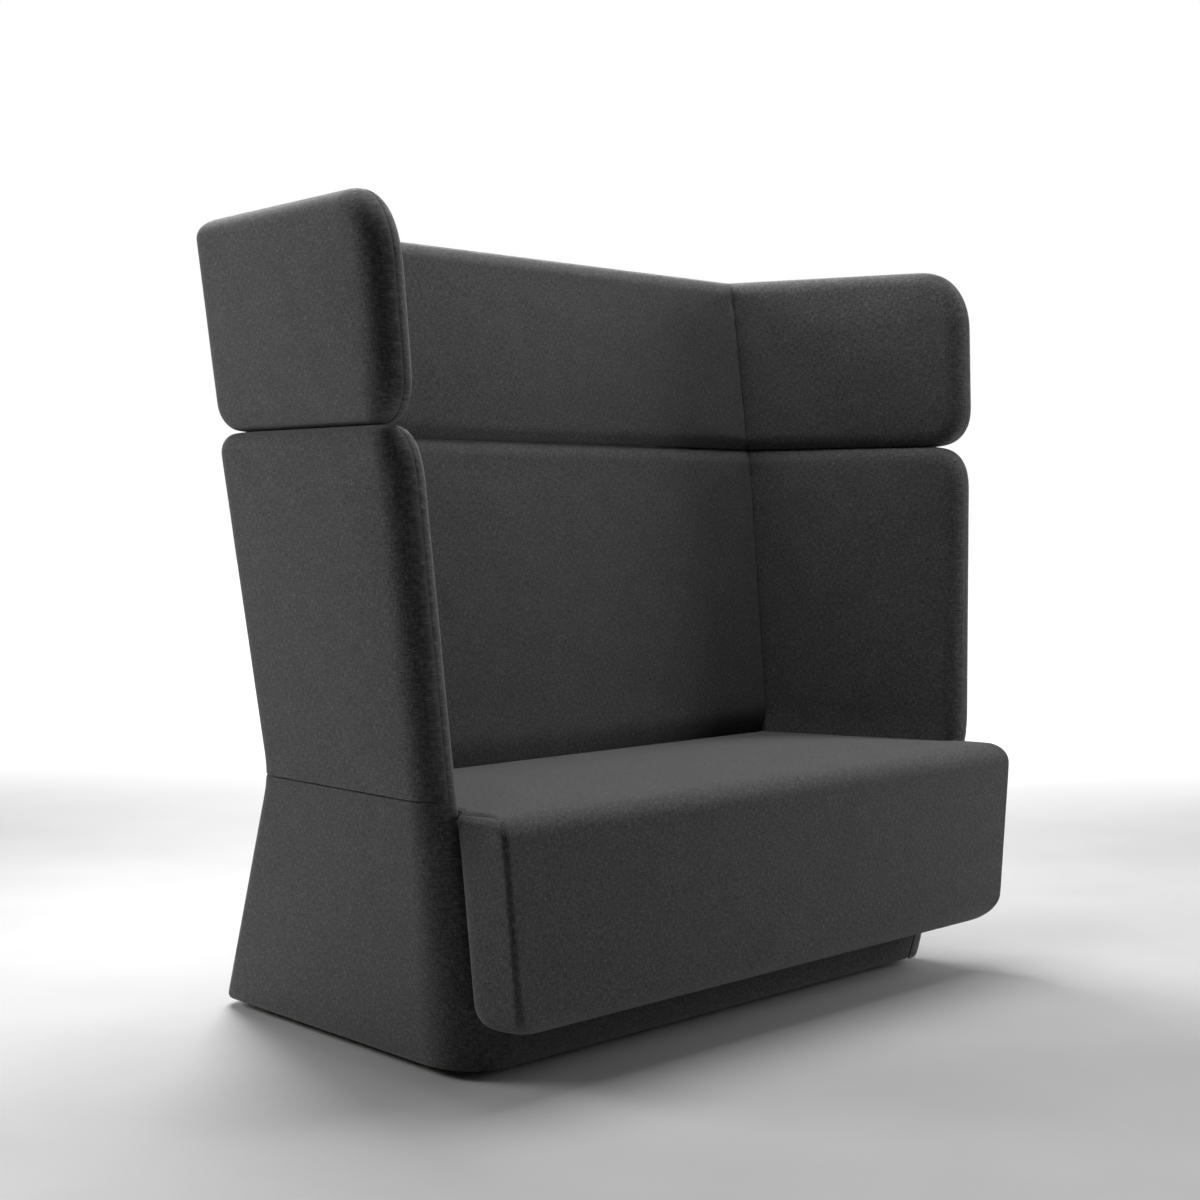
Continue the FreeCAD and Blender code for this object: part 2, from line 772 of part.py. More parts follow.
for edge in cushion.Edges:
    centre = edge.CenterOfMass
    ends = [edge.tangentAt(at).z for at in (edge.FirstParameter, edge.LastParameter)]
    level_edge = all(abs(rise) < 1.0 - upright_share for rise in ends)
    at_side = abs(centre.x) > apron_side(centre.z) - apron_corner_round
    outer = at_side or centre.y < apron_front + apron_corner_round
    at_rim = centre.z < apron_bottom + near or centre.z > edge_height - near
    if level_edge and outer and at_rim and centre.y < apron_back - near:
        apron_rim.append(edge)
cushion = cushion.makeFillet(apron_edge_round, apron_rim)
apron_room = [
    block(-board_half, board_half, deck_front, apron_back + apron_back_gap, apron_low, deck_underside),
    deck,
]
seat_cushion = cut_all(cushion, apron_room)

# Plywood shell on the base and its padded band
side_shell = side_panel(shell_zone, waist_height, crease_height - core_edge_margin, core_edge_margin)
back_shell = cross_panel(shell_zone, waist_height, crease_height - core_edge_margin, False)
side_head = side_panel(head_zone, crease_height + core_edge_margin, top_height - core_edge_margin,
                       core_edge_margin)
back_head = cross_panel(head_zone, crease_height + core_edge_margin, top_height - core_edge_margin, False)
bolts = bolt_places()
holes = [bolt_hole(*place) for place in bolts]
head_rooms = [bolt_head_room(*place) for place in bolts]
plates = waist_brackets()
plain_bars = head_bars()
bars = [cut_all(bar, holes) for bar in plain_bars]
shell_angles = []
for z in shell_bracket_heights:
    angle = corner_bracket(shell_zone, z)
    shell_angles += [angle, mirrored(angle)]
head_angle = corner_bracket(head_zone, head_bracket_height)
head_angles = [head_angle, mirrored(head_angle)]

shell_inside = [side_shell, mirrored(side_shell), back_shell] + plates + plain_bars
shell_inside += shell_angles + head_rooms
shell_band = wall_band(shell_zone, shell_front_top_round, 0.0)
shell_left, shell_back, shell_right = split_walls(cut_all(shell_band, shell_inside), shell_zone)
head_inside = [side_head, mirrored(side_head), back_head] + plain_bars + head_angles + head_rooms
head_band = wall_band(head_zone, head_front_top_round, head_front_bottom_round)
head_left, head_back, head_right = split_walls(cut_all(head_band, head_inside), head_zone)

# Covers of the base: a skin below the seat deck, whole walls above it
envelope = base_envelope()
hollow = between(base_zone, 0.0, deck_underside, core_plan)
seat_space = between(base_zone, deck_underside, waist_height + wall_thickness, recess)
base_inside = [hollow, seat_space, side_base, mirrored(side_base), back_base] + plates
covers = cut_all(envelope, base_inside)
rear_left = left_of_mitre(base_zone)
front_room = between(base_zone, base_clearance, deck_underside, front_strip)
front_cover = covers.common(front_room).removeSplitter().Solids[0]
left_cover = cut_all(covers.common(rear_left), [front_room])
rear_covers = cut_all(covers, [rear_left, mirrored(rear_left), front_room])
back_lining, back_cover = sorted(rear_covers.Solids, key=lambda solid: solid.CenterOfMass.y)

nodes["base_board"] = [base_board]
nodes["base_side_left"] = [side_base]
nodes["base_side_right"] = [mirrored(side_base)]
nodes["base_back_panel"] = [back_base]
nodes["base_front_panel"] = [front_base]
nodes["seat_bearers"] = bearers
nodes["corner_blocks"] = blocks
nodes["glides"] = glides
nodes["glide_screws"] = glide_screws
nodes["dust_cover"] = [dust_cover]
nodes["seat_deck"] = [seat_deck]
nodes["seat_screws"] = seat_screws
nodes["apron_board"] = [apron_board]
nodes["apron_ribs"] = apron_ribs
nodes["seat_cushion"] = [seat_cushion]
nodes["shell_core_left"] = [cut_all(side_shell, holes)]
nodes["shell_core_right"] = [cut_all(mirrored(side_shell), holes)]
nodes["shell_core_back"] = [cut_all(back_shell, holes)]
nodes["shell_corner_brackets"] = shell_angles
nodes["waist_brackets"] = plates
nodes["head_core_left"] = [cut_all(side_head, holes)]
nodes["head_core_right"] = [cut_all(mirrored(side_head), holes)]
nodes["head_core_back"] = [cut_all(back_head, holes)]
nodes["head_corner_brackets"] = head_angles
nodes["head_bars"] = bars
nodes["head_bolts"] = [bolt(*place) for place in bolts]
nodes["base_cover_left"] = [left_cover]
nodes["base_cover_right"] = [mirrored(left_cover)]
nodes["base_cover_back"] = [back_cover]
nodes["base_lining_back"] = [back_lining]
nodes["base_cover_front"] = [front_cover]
nodes["shell_pad_left"] = [shell_left]
nodes["shell_pad_right"] = [shell_right]
nodes["shell_pad_back"] = [shell_back]
nodes["head_pad_left"] = [head_left]
nodes["head_pad_right"] = [head_right]
nodes["head_pad_back"] = [head_back]

os.makedirs("parts", exist_ok=True)
for name, solids in nodes.items():
    shape = solids[0] if len(solids) == 1 else Part.makeCompound(solids)
    shape.exportStep(f"parts/{name}.step")
    print(name, len(shape.Solids), shape.isValid(), round(shape.Volume / 1000.0, 1))
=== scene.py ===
"""Dressed model of a high-back sofa: padded wall bands, base covers, a crowned seat and their finishes."""
import logging
import math
from dataclasses import dataclass, field
from enum import Enum

import bmesh
import bpy
import numpy as np
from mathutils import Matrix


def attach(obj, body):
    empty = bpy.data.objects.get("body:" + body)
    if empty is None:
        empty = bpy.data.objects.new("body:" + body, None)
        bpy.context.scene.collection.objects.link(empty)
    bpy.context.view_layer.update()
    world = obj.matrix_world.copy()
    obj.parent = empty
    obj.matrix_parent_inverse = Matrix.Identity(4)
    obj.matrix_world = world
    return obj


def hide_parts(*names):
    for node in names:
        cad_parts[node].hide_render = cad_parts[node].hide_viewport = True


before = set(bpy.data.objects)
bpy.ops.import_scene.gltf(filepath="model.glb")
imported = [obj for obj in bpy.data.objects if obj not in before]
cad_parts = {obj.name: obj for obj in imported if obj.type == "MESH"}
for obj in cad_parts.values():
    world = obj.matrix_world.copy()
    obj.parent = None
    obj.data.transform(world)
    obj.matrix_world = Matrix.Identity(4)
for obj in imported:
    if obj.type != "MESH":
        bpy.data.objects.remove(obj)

Array = np.ndarray
Pair = tuple[float, float]
Triple = tuple[float, float, float]
Piece = bpy.types.Object
Socket = bpy.types.NodeSocket

LOG = logging.getLogger("sofa")
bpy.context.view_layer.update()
BODY = "root"
HELD_STEPS = 10.0
MERGE_DISTANCE = 3e-5
TINY = 1e-9
SEAM_WIDTH = 0.0025
FOLD_POWER = 1.3
MIRROR = np.array([-1.0, 1.0, 1.0])
MIRROR_SHIFT = np.array([3.0, 0.0])


class Wall(Enum):
    """The three walls of a band."""

    LEFT = "left"
    RIGHT = "right"
    BACK = "back"


class Edge(Enum):
    """How a sheet ends on one side."""

    ROLLED = "rolled"
    SEAMED = "seamed"


@dataclass
class Sheet:
    """Grid of points with a cloth coordinate, in metres, for each of them."""

    points: Array
    cloth: Array

    def mirrored(self) -> "Sheet":
        """Return the same sheet on the other side of the sofa, cut from another stretch of the cloth."""
        return Sheet(self.points * MIRROR, self.cloth + MIRROR_SHIFT)


def grid_quads(rows: int, columns: int, first: int) -> Array:
    """Number the four corners of every cell of a grid.

    Args:
        rows: Points down the grid.
        columns: Points across the grid.
        first: Number of the grid's first point.

    Returns:
        Array of corner numbers, four to a cell.
    """
    index = first + np.arange(rows * columns).reshape(rows, columns)
    corners = (index[:-1, :-1], index[1:, :-1], index[1:, 1:], index[:-1, 1:])
    return np.stack(corners, axis=-1).reshape(-1, 4)


def rim_quads(rows: int, columns: int) -> Array:
    """Number the cells that join the four edges of two equal grids, the second stored after the first.

    Args:
        rows: Points down each grid.
        columns: Points across each grid.

    Returns:
        Array of corner numbers, four to a cell.
    """
    index = np.arange(rows * columns).reshape(rows, columns)
    strips = []
    for edge in (index[0], index[-1], index[:, 0], index[:, -1]):
        other = edge + rows * columns
        strips.append(np.stack((edge[:-1], edge[1:], other[1:], other[:-1]), axis=-1))
    return np.concatenate(strips)


def closed_piece(name: str, outer: Sheet, inner: Sheet) -> Piece:
    """Join two sheets into one closed piece: the edges that meet are merged and the others bridged.

    Args:
        name: Name of the piece.
        outer: Sheet on the outside.
        inner: Sheet on the inside, with as many rows and columns.

    Returns:
        The piece, with a cloth map in metres and a pin value of one along its seams that fades beside them.
    """
    rows, columns = outer.points.shape[:2]
    points = np.concatenate((outer.points.reshape(-1, 3), inner.points.reshape(-1, 3)))
    cloth = np.concatenate((outer.cloth.reshape(-1, 2), inner.cloth.reshape(-1, 2)))
    faces = np.concatenate((
        grid_quads(rows, columns, 0),
        grid_quads(rows, columns, rows * columns)[:, ::-1],
        rim_quads(rows, columns),
    ))
    mesh = bpy.data.meshes.new(name)
    mesh.from_pydata(points.tolist(), [], faces.tolist())
    corners = np.empty(len(mesh.loops), dtype=np.int32)
    mesh.loops.foreach_get("vertex_index", corners)
    layer = mesh.uv_layers.new(name="cloth")
    layer.data.foreach_set("uv", cloth[corners].astype(np.float32).ravel())
    down, along = (np.minimum(np.arange(count), np.arange(count)[::-1]) for count in (rows, columns))
    pin = np.clip(1.0 - np.minimum(down[:, None], along[None, :]) / HELD_STEPS, 0.0, 1.0)
    pin = np.concatenate((pin.ravel(), pin.ravel())).astype(np.float32)
    mesh.attributes.new("pin", "FLOAT", "POINT").data.foreach_set("value", pin)
    work = bmesh.new()
    work.from_mesh(mesh)
    bmesh.ops.remove_doubles(work, verts=work.verts, dist=MERGE_DISTANCE)
    bmesh.ops.recalc_face_normals(work, faces=work.faces)
    work.to_mesh(mesh)
    work.free()
    mesh.shade_smooth()
    piece = bpy.data.objects.new(name, mesh)
    bpy.context.scene.collection.objects.link(piece)
    return piece


@dataclass(frozen=True)
class Filling:
    """Swelling of a cover over its foam, worked out as cloth under pressure and held at its seams."""

    crown: float = 0.005
    pressure: float = 4.0
    frames: int = 20
    quality: int = 3
    mass: float = 0.3
    tension: float = 18.0
    shear_share: float = 0.4
    bending: float = 2.0
    air_damping: float = 2.0
    held_above: float = 0.99

    def simulate(self, piece: Piece, pin: Array) -> Array:
        """Run the cloth and take it off again.

        Args:
            piece: Closed piece.
            pin: Pin value of each point.

        Returns:
            Places of the points at the last frame.
        """
        group = piece.vertex_groups.new(name="seams")
        group.add(np.flatnonzero(pin > self.held_above).tolist(), 1.0, "REPLACE")
        cloth = piece.modifiers.new("swell", "CLOTH")
        settings = cloth.settings
        settings.quality = self.quality
        settings.mass = self.mass
        settings.tension_stiffness = self.tension
        settings.compression_stiffness = self.tension
        settings.shear_stiffness = self.shear_share * self.tension
        settings.bending_stiffness = self.bending
        settings.air_damping = self.air_damping
        settings.use_pressure = True
        settings.uniform_pressure_force = self.pressure
        settings.vertex_group_mass = group.name
        settings.effector_weights.gravity = 0.0
        cloth.collision_settings.use_collision = False
        cloth.collision_settings.use_self_collision = False
        cloth.point_cache.frame_start = 1
        cloth.point_cache.frame_end = self.frames
        scene = bpy.context.scene
        for number in range(1, self.frames + 1):
            scene.frame_set(number)
        blown = np.empty((len(pin), 3), dtype=np.float32)
        worked = piece.evaluated_get(bpy.context.evaluated_depsgraph_get())
        worked.data.vertices.foreach_get("co", blown.ravel())
        piece.modifiers.remove(cloth)
        piece.vertex_groups.remove(group)
        scene.frame_set(1)
        return blown

    def swell(self, piece: Piece) -> float:
        """Blow a piece up a little and keep the outward part, scaled so that the largest is the crown.

        Args:
            piece: Closed piece whose seams carry a pin value.

        Returns:
            Largest movement of a point before it is held to the crown, in metres.
        """
        mesh = piece.data
        pin = np.empty(len(mesh.vertices), dtype=np.float32)
        mesh.attributes["pin"].data.foreach_get("value", pin)
        blown = self.simulate(piece, pin)
        still, outward = np.empty_like(blown), np.empty_like(blown)
        mesh.vertices.foreach_get("co", still.ravel())
        mesh.vertex_normals.foreach_get("vector", outward.ravel())
        rise = np.clip(((blown - still) * outward).sum(axis=1), 0.0, None)
        most = float(rise.max())
        rise = rise * (1.0 - pin)
        share = min(1.0, self.crown / max(float(rise.max()), TINY))
        mesh.vertices.foreach_set("co", (still + outward * (rise * share)[:, None]).ravel())
        mesh.update()
        return most


def refine(piece: Piece, levels: int = 1) -> None:
    """Round a piece off with a subdivision surface."""
    smooth = piece.modifiers.new("rounding", "SUBSURF")
    smooth.levels = levels
    smooth.render_levels = levels
    smooth.uv_smooth = "PRESERVE_BOUNDARIES"


@dataclass(frozen=True)
class WallPlan:
    """Plan of the walls by height: broken lines through four levels, eased where they change slope."""

    heights: tuple[float, ...] = (-0.422, 0.015, 0.452, 1.018, 1.373, 1.728)
    fronts: tuple[float, ...] = (-0.290, -0.312, -0.334, -0.306, -0.286, -0.266)
    rears: tuple[float, ...] = (0.739, 0.445, 0.151, 0.227, 0.280, 0.333)
    half_widths: tuple[float, ...] = (0.5145, 0.613, 0.7115, 0.7635, 0.786, 0.8085)
    thickness: float = 0.080
    corner_round: float = 0.050
    crease_round: float = 0.006
    ease: float = 0.028
    ease_samples: int = 5

    def eased(self, values: tuple[float, ...], z: Array) -> Array:
        """Mean of the broken line through values over a short stretch of height about z."""
        shifts = np.linspace(-self.ease, self.ease, self.ease_samples)
        return np.mean([np.interp(z + shift, self.heights, values) for shift in shifts], axis=0)

    def front(self, z: Array) -> Array:
        """Return y of the front ends at height z."""
        return self.eased(self.fronts, z)

    def rear(self, z: Array) -> Array:
        """Return y of the outer rear face at height z."""
        return self.eased(self.rears, z)

    def side(self, y: Array, z: Array, depth: Array, splay: float) -> Array:
        """Half width at y and z of the face that lies depth inside the outer one."""
        return self.eased(self.half_widths, z) - splay * y - depth * math.hypot(1.0, splay)

    def turned(self, flat: Array, left: Array, along: tuple, out: tuple,
               depth: Array, splay: float) -> Array:
        """Bend the last stretch of a wall round the rear corner.

        A point nearer to the corner than the tangent length R / tan(w / 2) moves onto an arc of radius R,
        which shrinks from the outer face to the crease inside; w is the angle between the walls.

        Args:
            flat: Plan points on the straight wall, with x and y last.
            left: Distance of each point to the corner along the wall.
            along: Unit vector from the corner along the wall.
            out: Unit vector out of the wall.
            depth: Depth of each point inside the outer face.
            splay: Sideways opening of the side walls.

        Returns:
            Plan points with the corner rounded.
        """
        angle = math.pi / 2.0 + math.atan(splay)
        share = np.clip(depth / self.thickness, 0.0, 1.0)
        radius = self.corner_round * (1.0 - share) + self.crease_round * share
        tangent = radius / math.tan(angle / 2.0)
        near = np.clip(left / tangent, 0.0, 1.0)
        turn = (math.pi - angle) / 2.0 * (1.0 - near)
        slide = np.where(left < tangent, tangent - left - radius * np.sin(turn), 0.0)
        sink = radius * (np.cos(turn) - 1.0)
        return flat + slide[..., None] * np.array(along) + sink[..., None] * np.array(out)

    def side_wall(self, run: Array, depth: Array, z: Array,
                  length: float, splay: float) -> Array:
        """Place points on the left wall.

        Args:
            run: Distance from the front end, up to length at the mitre.
            depth: Depth inside the outer face.
            z: Height.
            length: Run at which the mitre with the back is reached.
            splay: Sideways opening of the wall.

        Returns:
            Points with x, y and z last.
        """
        front = self.front(z)
        reach = self.rear(z) - depth - front
        y = front + run + (run / length) ** 2 * (reach - length)
        x = -self.side(y, z, depth, splay)
        slant = math.hypot(1.0, splay)
        left = (self.rear(z) - depth - y) * slant
        flat = self.turned(np.stack((x, y), axis=-1), left, (-splay / slant, -1.0 / slant),
                           (-1.0 / slant, splay / slant), depth, splay)
        return np.concatenate((flat, np.broadcast_to(z, x.shape)[..., None]), axis=-1)

    def back_wall(self, share: Array, depth: Array, z: Array, splay: float) -> Array:
        """Place points on the back.

        Args:
            share: Place across the back, from -1 at the left mitre to 1 at the right one.
            depth: Depth inside the outer face.
            z: Height.
            splay: Sideways opening of the side walls.

        Returns:
            Points with x, y and z last.
        """
        y = self.rear(z) - depth
        half = self.side(y, z, depth, splay)
        left = (1.0 - np.abs(share)) * half
        flat = np.stack((-np.abs(share) * half, y), axis=-1)
        flat = self.turned(flat, left, (1.0, 0.0), (0.0, 1.0), depth, splay)
        flat[..., 0] *= np.where(share > 0.0, -1.0, 1.0)
        return np.concatenate((flat, np.broadcast_to(z, y.shape)[..., None]), axis=-1)


PLAN = WallPlan()
RIM_TURNS = np.radians([0.0, 3.0, 7.0, 13.0, 21.0, 30.0, 40.0, 50.0, 60.0, 70.0, 80.0, 90.0])
SEAM_STEPS = np.array([0.0, 0.0015, 0.004, 0.008, 0.013, 0.019, 0.026, 0.034, 0.043, 0.053, 0.064, 0.077])
RIPPLES = ((0.5, 171.0, 1.0), (0.32, 283.0, 2.1), (0.25, 97.0, 3.7))


def stations(span: float, radius: float, start: Edge, end: Edge, step: float = 0.020) -> Array:
    """Distances across a sheet, close together over a rolled rim or along a seam and even between them.

    Args:
        span: Whole distance.
        radius: Radius of a rolled rim.
        start: How the sheet begins.
        end: How the sheet ends.
        step: Even distance in the middle.

    Returns:
        Rising distances from nought to span.
    """
    rolled = radius * (1.0 - np.cos(RIM_TURNS))
    first = rolled if start is Edge.ROLLED else SEAM_STEPS
    last = span - (rolled if end is Edge.ROLLED else SEAM_STEPS)[::-1]
    count = int(math.ceil(span / step))
    return np.concatenate((first, np.linspace(first[-1], last[0], count)[1:-1], last))


def rolled_depth(distance: Array, radius: float | Array) -> Array:
    """Depth of a rolled edge below its face, at a distance in from the rim: a quarter circle."""
    inside = np.clip(radius - distance, 0.0, None)
    return radius - np.sqrt(np.clip(radius ** 2 - inside ** 2, 0.0, None))


def dropped(z: Array, seam: float, drop: float = 0.030, reach: float = 0.2) -> Array:
    """Heights near a seam moved down by drop at the seam, fading with the square of the distance."""
    return z - drop * np.clip(1.0 - np.abs(z - seam) / reach, 0.0, 1.0) ** 2


def unevenness(across: Array, up: Array, seed: float) -> Array:
    """Slow swell of hand-laid foam, between about -1 and 1: crossed sines of a hand's breadth and more."""
    crossed = np.sin(across * 23.0 + up * 9.0 + seed) * np.cos(up * 17.0 + 1.7 * seed)
    slanted = np.sin(across * 41.0 - up * 31.0 + 2.3 * seed)
    return 0.45 * crossed + 0.35 * slanted + 0.2 * np.cos(up * 58.0 + across * 13.0 + seed)


def ripple(place: Array, seed: float) -> Array:
    """Uneven wave along a seam, between about -1 and 1: three sines whose lengths share no factor."""
    return sum(size * np.sin(place * waves + phase * seed) for size, waves, phase in RIPPLES)


def fold(distance: Array, width: float) -> Array:
    """Share of a fold's depth at a distance from its line: one on the line, next to none three widths away."""
    return np.exp(-(distance / width) ** FOLD_POWER)


def bell(distance: Array, width: float) -> Array:
    """Bell curve over the distance from its middle: one there, a third at the width."""
    return np.exp(-(distance / width) ** 2)


@dataclass
class WallBand:
    """Padded band round the two sides and the back, of three pads sewn from an outer and an inner panel."""

    label: str
    low: float
    high: float
    splay: float
    length: float
    top_corner: Pair
    bottom_corner: Pair | None
    outer_roll: float = 0.048
    inner_roll: float = 0.032
    top_rise: float = 0.034
    crease_rise: float = 0.046
    top_pressed: bool = False
    touch: float = 0.62
    slot: float = 0.0016
    end_groove: float = 0.0009
    top_groove: float = 0.0
    bottom_groove: float = 0.0
    sewn_fade: tuple[float, ...] = (1.0, 0.5, 0.1, 0.0)
    corner_sink: float = 0.005
    corner_fade: float = 0.009
    pucker: float = 0.0011
    pucker_place: float = 0.012
    pucker_width: float = 0.016
    pinch: float = 0.004
    pinch_drop: float = 0.048
    pinch_size: Pair = (0.016, 0.013)
    waist_groove: float = 0.0009
    lumps: float = 0.0009
    calm_reach: float = 0.08
    inner_shift: float = 1.0
    filling: Filling = field(default_factory=Filling)

    @property
    def bottom_edge(self) -> Edge:
        """Rolled where the band hangs free, seamed where it meets the base."""
        return Edge.ROLLED if self.bottom_corner else Edge.SEAMED

    def outline(self, run: Array, rise: Array, radius: float,
                at_end: bool) -> tuple[Array, Array, Array, Array]:
        """Round the free corners of a panel and find how far each point lies from its rim.

        In the box of each free corner, rings of equal distance to the rim become arcs of an ellipse: a point
        keeps its direction from the inner corner of the box, and its larger coordinate becomes its radius.

        Args:
            run: Distance from the front end.
            rise: Height above the lower edge.
            radius: Depth of the rolled rim, which is also its width at the front end.
            at_end: Whether the panel has a free front end.

        Returns:
            Run and rise on the rounded panel, the share of the roll's width that lies outside each point, and
            how far the nearest rim is one that is pressed against the next band.
        """
        height = self.high - self.low
        drop = height - rise
        top_reach, low_reach = min(self.top_rise, radius), min(self.crease_rise, radius)
        edges = [(drop, top_reach, self.top_groove)]
        if at_end:
            edges.append((run, radius, self.end_groove))
        if self.bottom_edge is Edge.ROLLED:
            edges.append((rise, low_reach, self.bottom_groove))
        gap = np.minimum.reduce([distance for distance, _, _ in edges])
        share = np.minimum.reduce([distance / reach for distance, reach, _ in edges])
        marks = radius * (1.0 - np.cos(RIM_TURNS[:len(self.sewn_fade)]))
        sewn = np.interp(gap, marks, self.sewn_fade)
        new_run = run + np.where(at_end & (gap == run), self.end_groove * sewn, 0.0)
        new_rise = rise - np.where(gap == drop, self.top_groove * sewn, 0.0)
        if self.bottom_edge is Edge.ROLLED:
            new_rise = new_rise + np.where(gap == rise, self.bottom_groove * sewn, 0.0)
        pressed = np.where((gap == rise) | ((gap == drop) & self.top_pressed), 1.0, 0.0)
        corners = [(self.top_corner, drop, top_reach, True)]
        if self.bottom_corner:
            corners.append((self.bottom_corner, rise, low_reach, False))
        for (wide, tall), lift, reach, at_top in corners if at_end else ():
            across = np.clip(1.0 - run / wide, 0.0, None)
            up = np.clip(1.0 - lift / tall, 0.0, None)
            far = np.maximum(np.hypot(across, up), TINY)
            ring = np.maximum(across, up)
            lean = (up / far) ** 2
            boxed = (across > 0.0) & (up > 0.0)
            scale = ring * (1.0 - self.end_groove * sewn / wide) / far
            lifted = tall * (1.0 - up * scale)
            new_run = np.where(boxed, wide * (1.0 - across * scale), new_run)
            new_rise = np.where(boxed, height - lifted if at_top else lifted, new_rise)
            share = np.where(boxed, (1.0 - ring) * (wide / radius * (1.0 - lean) + tall / reach * lean), share)
            pressed = np.where(boxed, lean if self.top_pressed or not at_top else 0.0, pressed)
        return new_run, new_rise, np.clip(share, 0.0, 1.0), pressed

    def roll_depth(self, share: Array, pressed: Array, radius: float) -> Array:
        """Depth over a rolled rim: a quarter ellipse, or a shallower one that ends in a narrow slot if pressed.

        Args:
            share: Place across the roll, from nought at the rim to one on the face.
            pressed: How far the rim is pressed against the next band.
            radius: Depth of the rim.

        Returns:
            Depth below the face.
        """
        narrow = self.slot / self.crease_rise
        inner = np.sqrt(np.clip(share / narrow, 0.0, 1.0))
        shallow = self.touch * rolled_depth(np.clip(share - narrow, 0.0, None) / (1.0 - narrow), 1.0)
        slotted = np.where(share < narrow, 1.0 - (1.0 - self.touch) * inner, shallow)
        return radius * (rolled_depth(share, 1.0) * (1.0 - pressed) + slotted * pressed)

    def panel(self, wall: Wall, inside: bool) -> Sheet:
        """Lay out one panel of a pad.

        The depth is a quarter ellipse near each rolled rim. Inside it sinks into the seam at the rear corners,
        with a few puckers beside it and a pinch near the top, and outside into the seam at the waist.

        Args:
            wall: LEFT or BACK.
            inside: Whether it is the panel that faces the seat.

        Returns:
            The panel's sheet.
        """
        radius = self.inner_roll if inside else self.outer_roll
        height = self.high - self.low
        rises = stations(height, radius, self.bottom_edge, Edge.ROLLED)
        at_end = wall is Wall.LEFT
        if at_end:
            runs = stations(self.length, radius, Edge.ROLLED, Edge.SEAMED)
            to_corner = self.length - runs
        else:
            width = 2.0 * float(PLAN.side(PLAN.rear(np.array(self.high)), np.array(self.high),
                                          np.array(0.0), self.splay))
            runs = stations(width, radius, Edge.SEAMED, Edge.SEAMED)
            to_corner = np.minimum(runs, width - runs)
        run, rise = np.meshgrid(runs, rises)
        corner = np.broadcast_to(to_corner, run.shape)
        new_run, new_rise, share, pressed = self.outline(run, rise, radius, at_end)
        depth = self.roll_depth(share, pressed, radius)
        calm = share * np.clip(corner / self.calm_reach, 0.0, 1.0)
        depth = depth + self.lumps * calm * unevenness(run, rise, 5.0 * self.high + 2.0 * inside + at_end)
        z = self.low + new_rise
        if inside:
            wide, tall = self.pinch_size
            depth = depth + self.corner_sink * np.exp(-corner / self.corner_fade)
            depth = depth + self.pucker * ripple(rise, 1.0 + self.low) * bell(corner - self.pucker_place,
                                                                              self.pucker_width)
            depth = depth + self.pinch * bell(corner, wide) * bell(height - rise - self.pinch_drop, tall)
            depth = PLAN.thickness - depth
            z = dropped(z, self.low) if self.bottom_edge is Edge.SEAMED else z
        elif self.bottom_edge is Edge.SEAMED:
            depth = depth + self.waist_groove * fold(rise, SEAM_WIDTH)
        if at_end:
            points = PLAN.side_wall(new_run, depth, z, self.length, self.splay)
        else:
            points = PLAN.back_wall(new_run / width * 2.0 - 1.0, depth, z, self.splay)
        return Sheet(points, np.stack((new_run + self.inner_shift * inside, z), axis=-1))

    def build(self, finish: "Finish") -> list[Piece]:
        """Make and dress the three pads.

        Args:
            finish: Cloth of the pads.

        Returns:
            The left, right and back pads.
        """
        pads = []
        for wall in Wall:
            panel_wall = Wall.BACK if wall is Wall.BACK else Wall.LEFT
            sheets = [self.panel(panel_wall, inside) for inside in (False, True)]
            if wall is Wall.RIGHT:
                sheets = [sheet.mirrored() for sheet in sheets]
            pad = closed_piece(f"{self.label}_cover_{wall.value}", *sheets)
            finish_padded(pad, self.filling, finish, f"{self.label}_pad_{wall.value}")
            pads.append(pad)
        return pads


def finish_padded(piece: Piece, filling: Filling, finish: "Finish", node: str) -> None:
    """Swell a padded piece, round it off, dress it and put it in the place of its solid.

    Args:
        piece: Closed piece.
        filling: How it swells.
        finish: Its cloth.
        node: Solid that it stands for.
    """
    most = filling.swell(piece)
    refine(piece)
    finish.dress(piece)
    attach(piece, BODY)
    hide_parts(node)
    count = len(piece.data.vertices)
    LOG.info("%s: %d points, swelled %.4f m before the hold", piece.name, count, most)


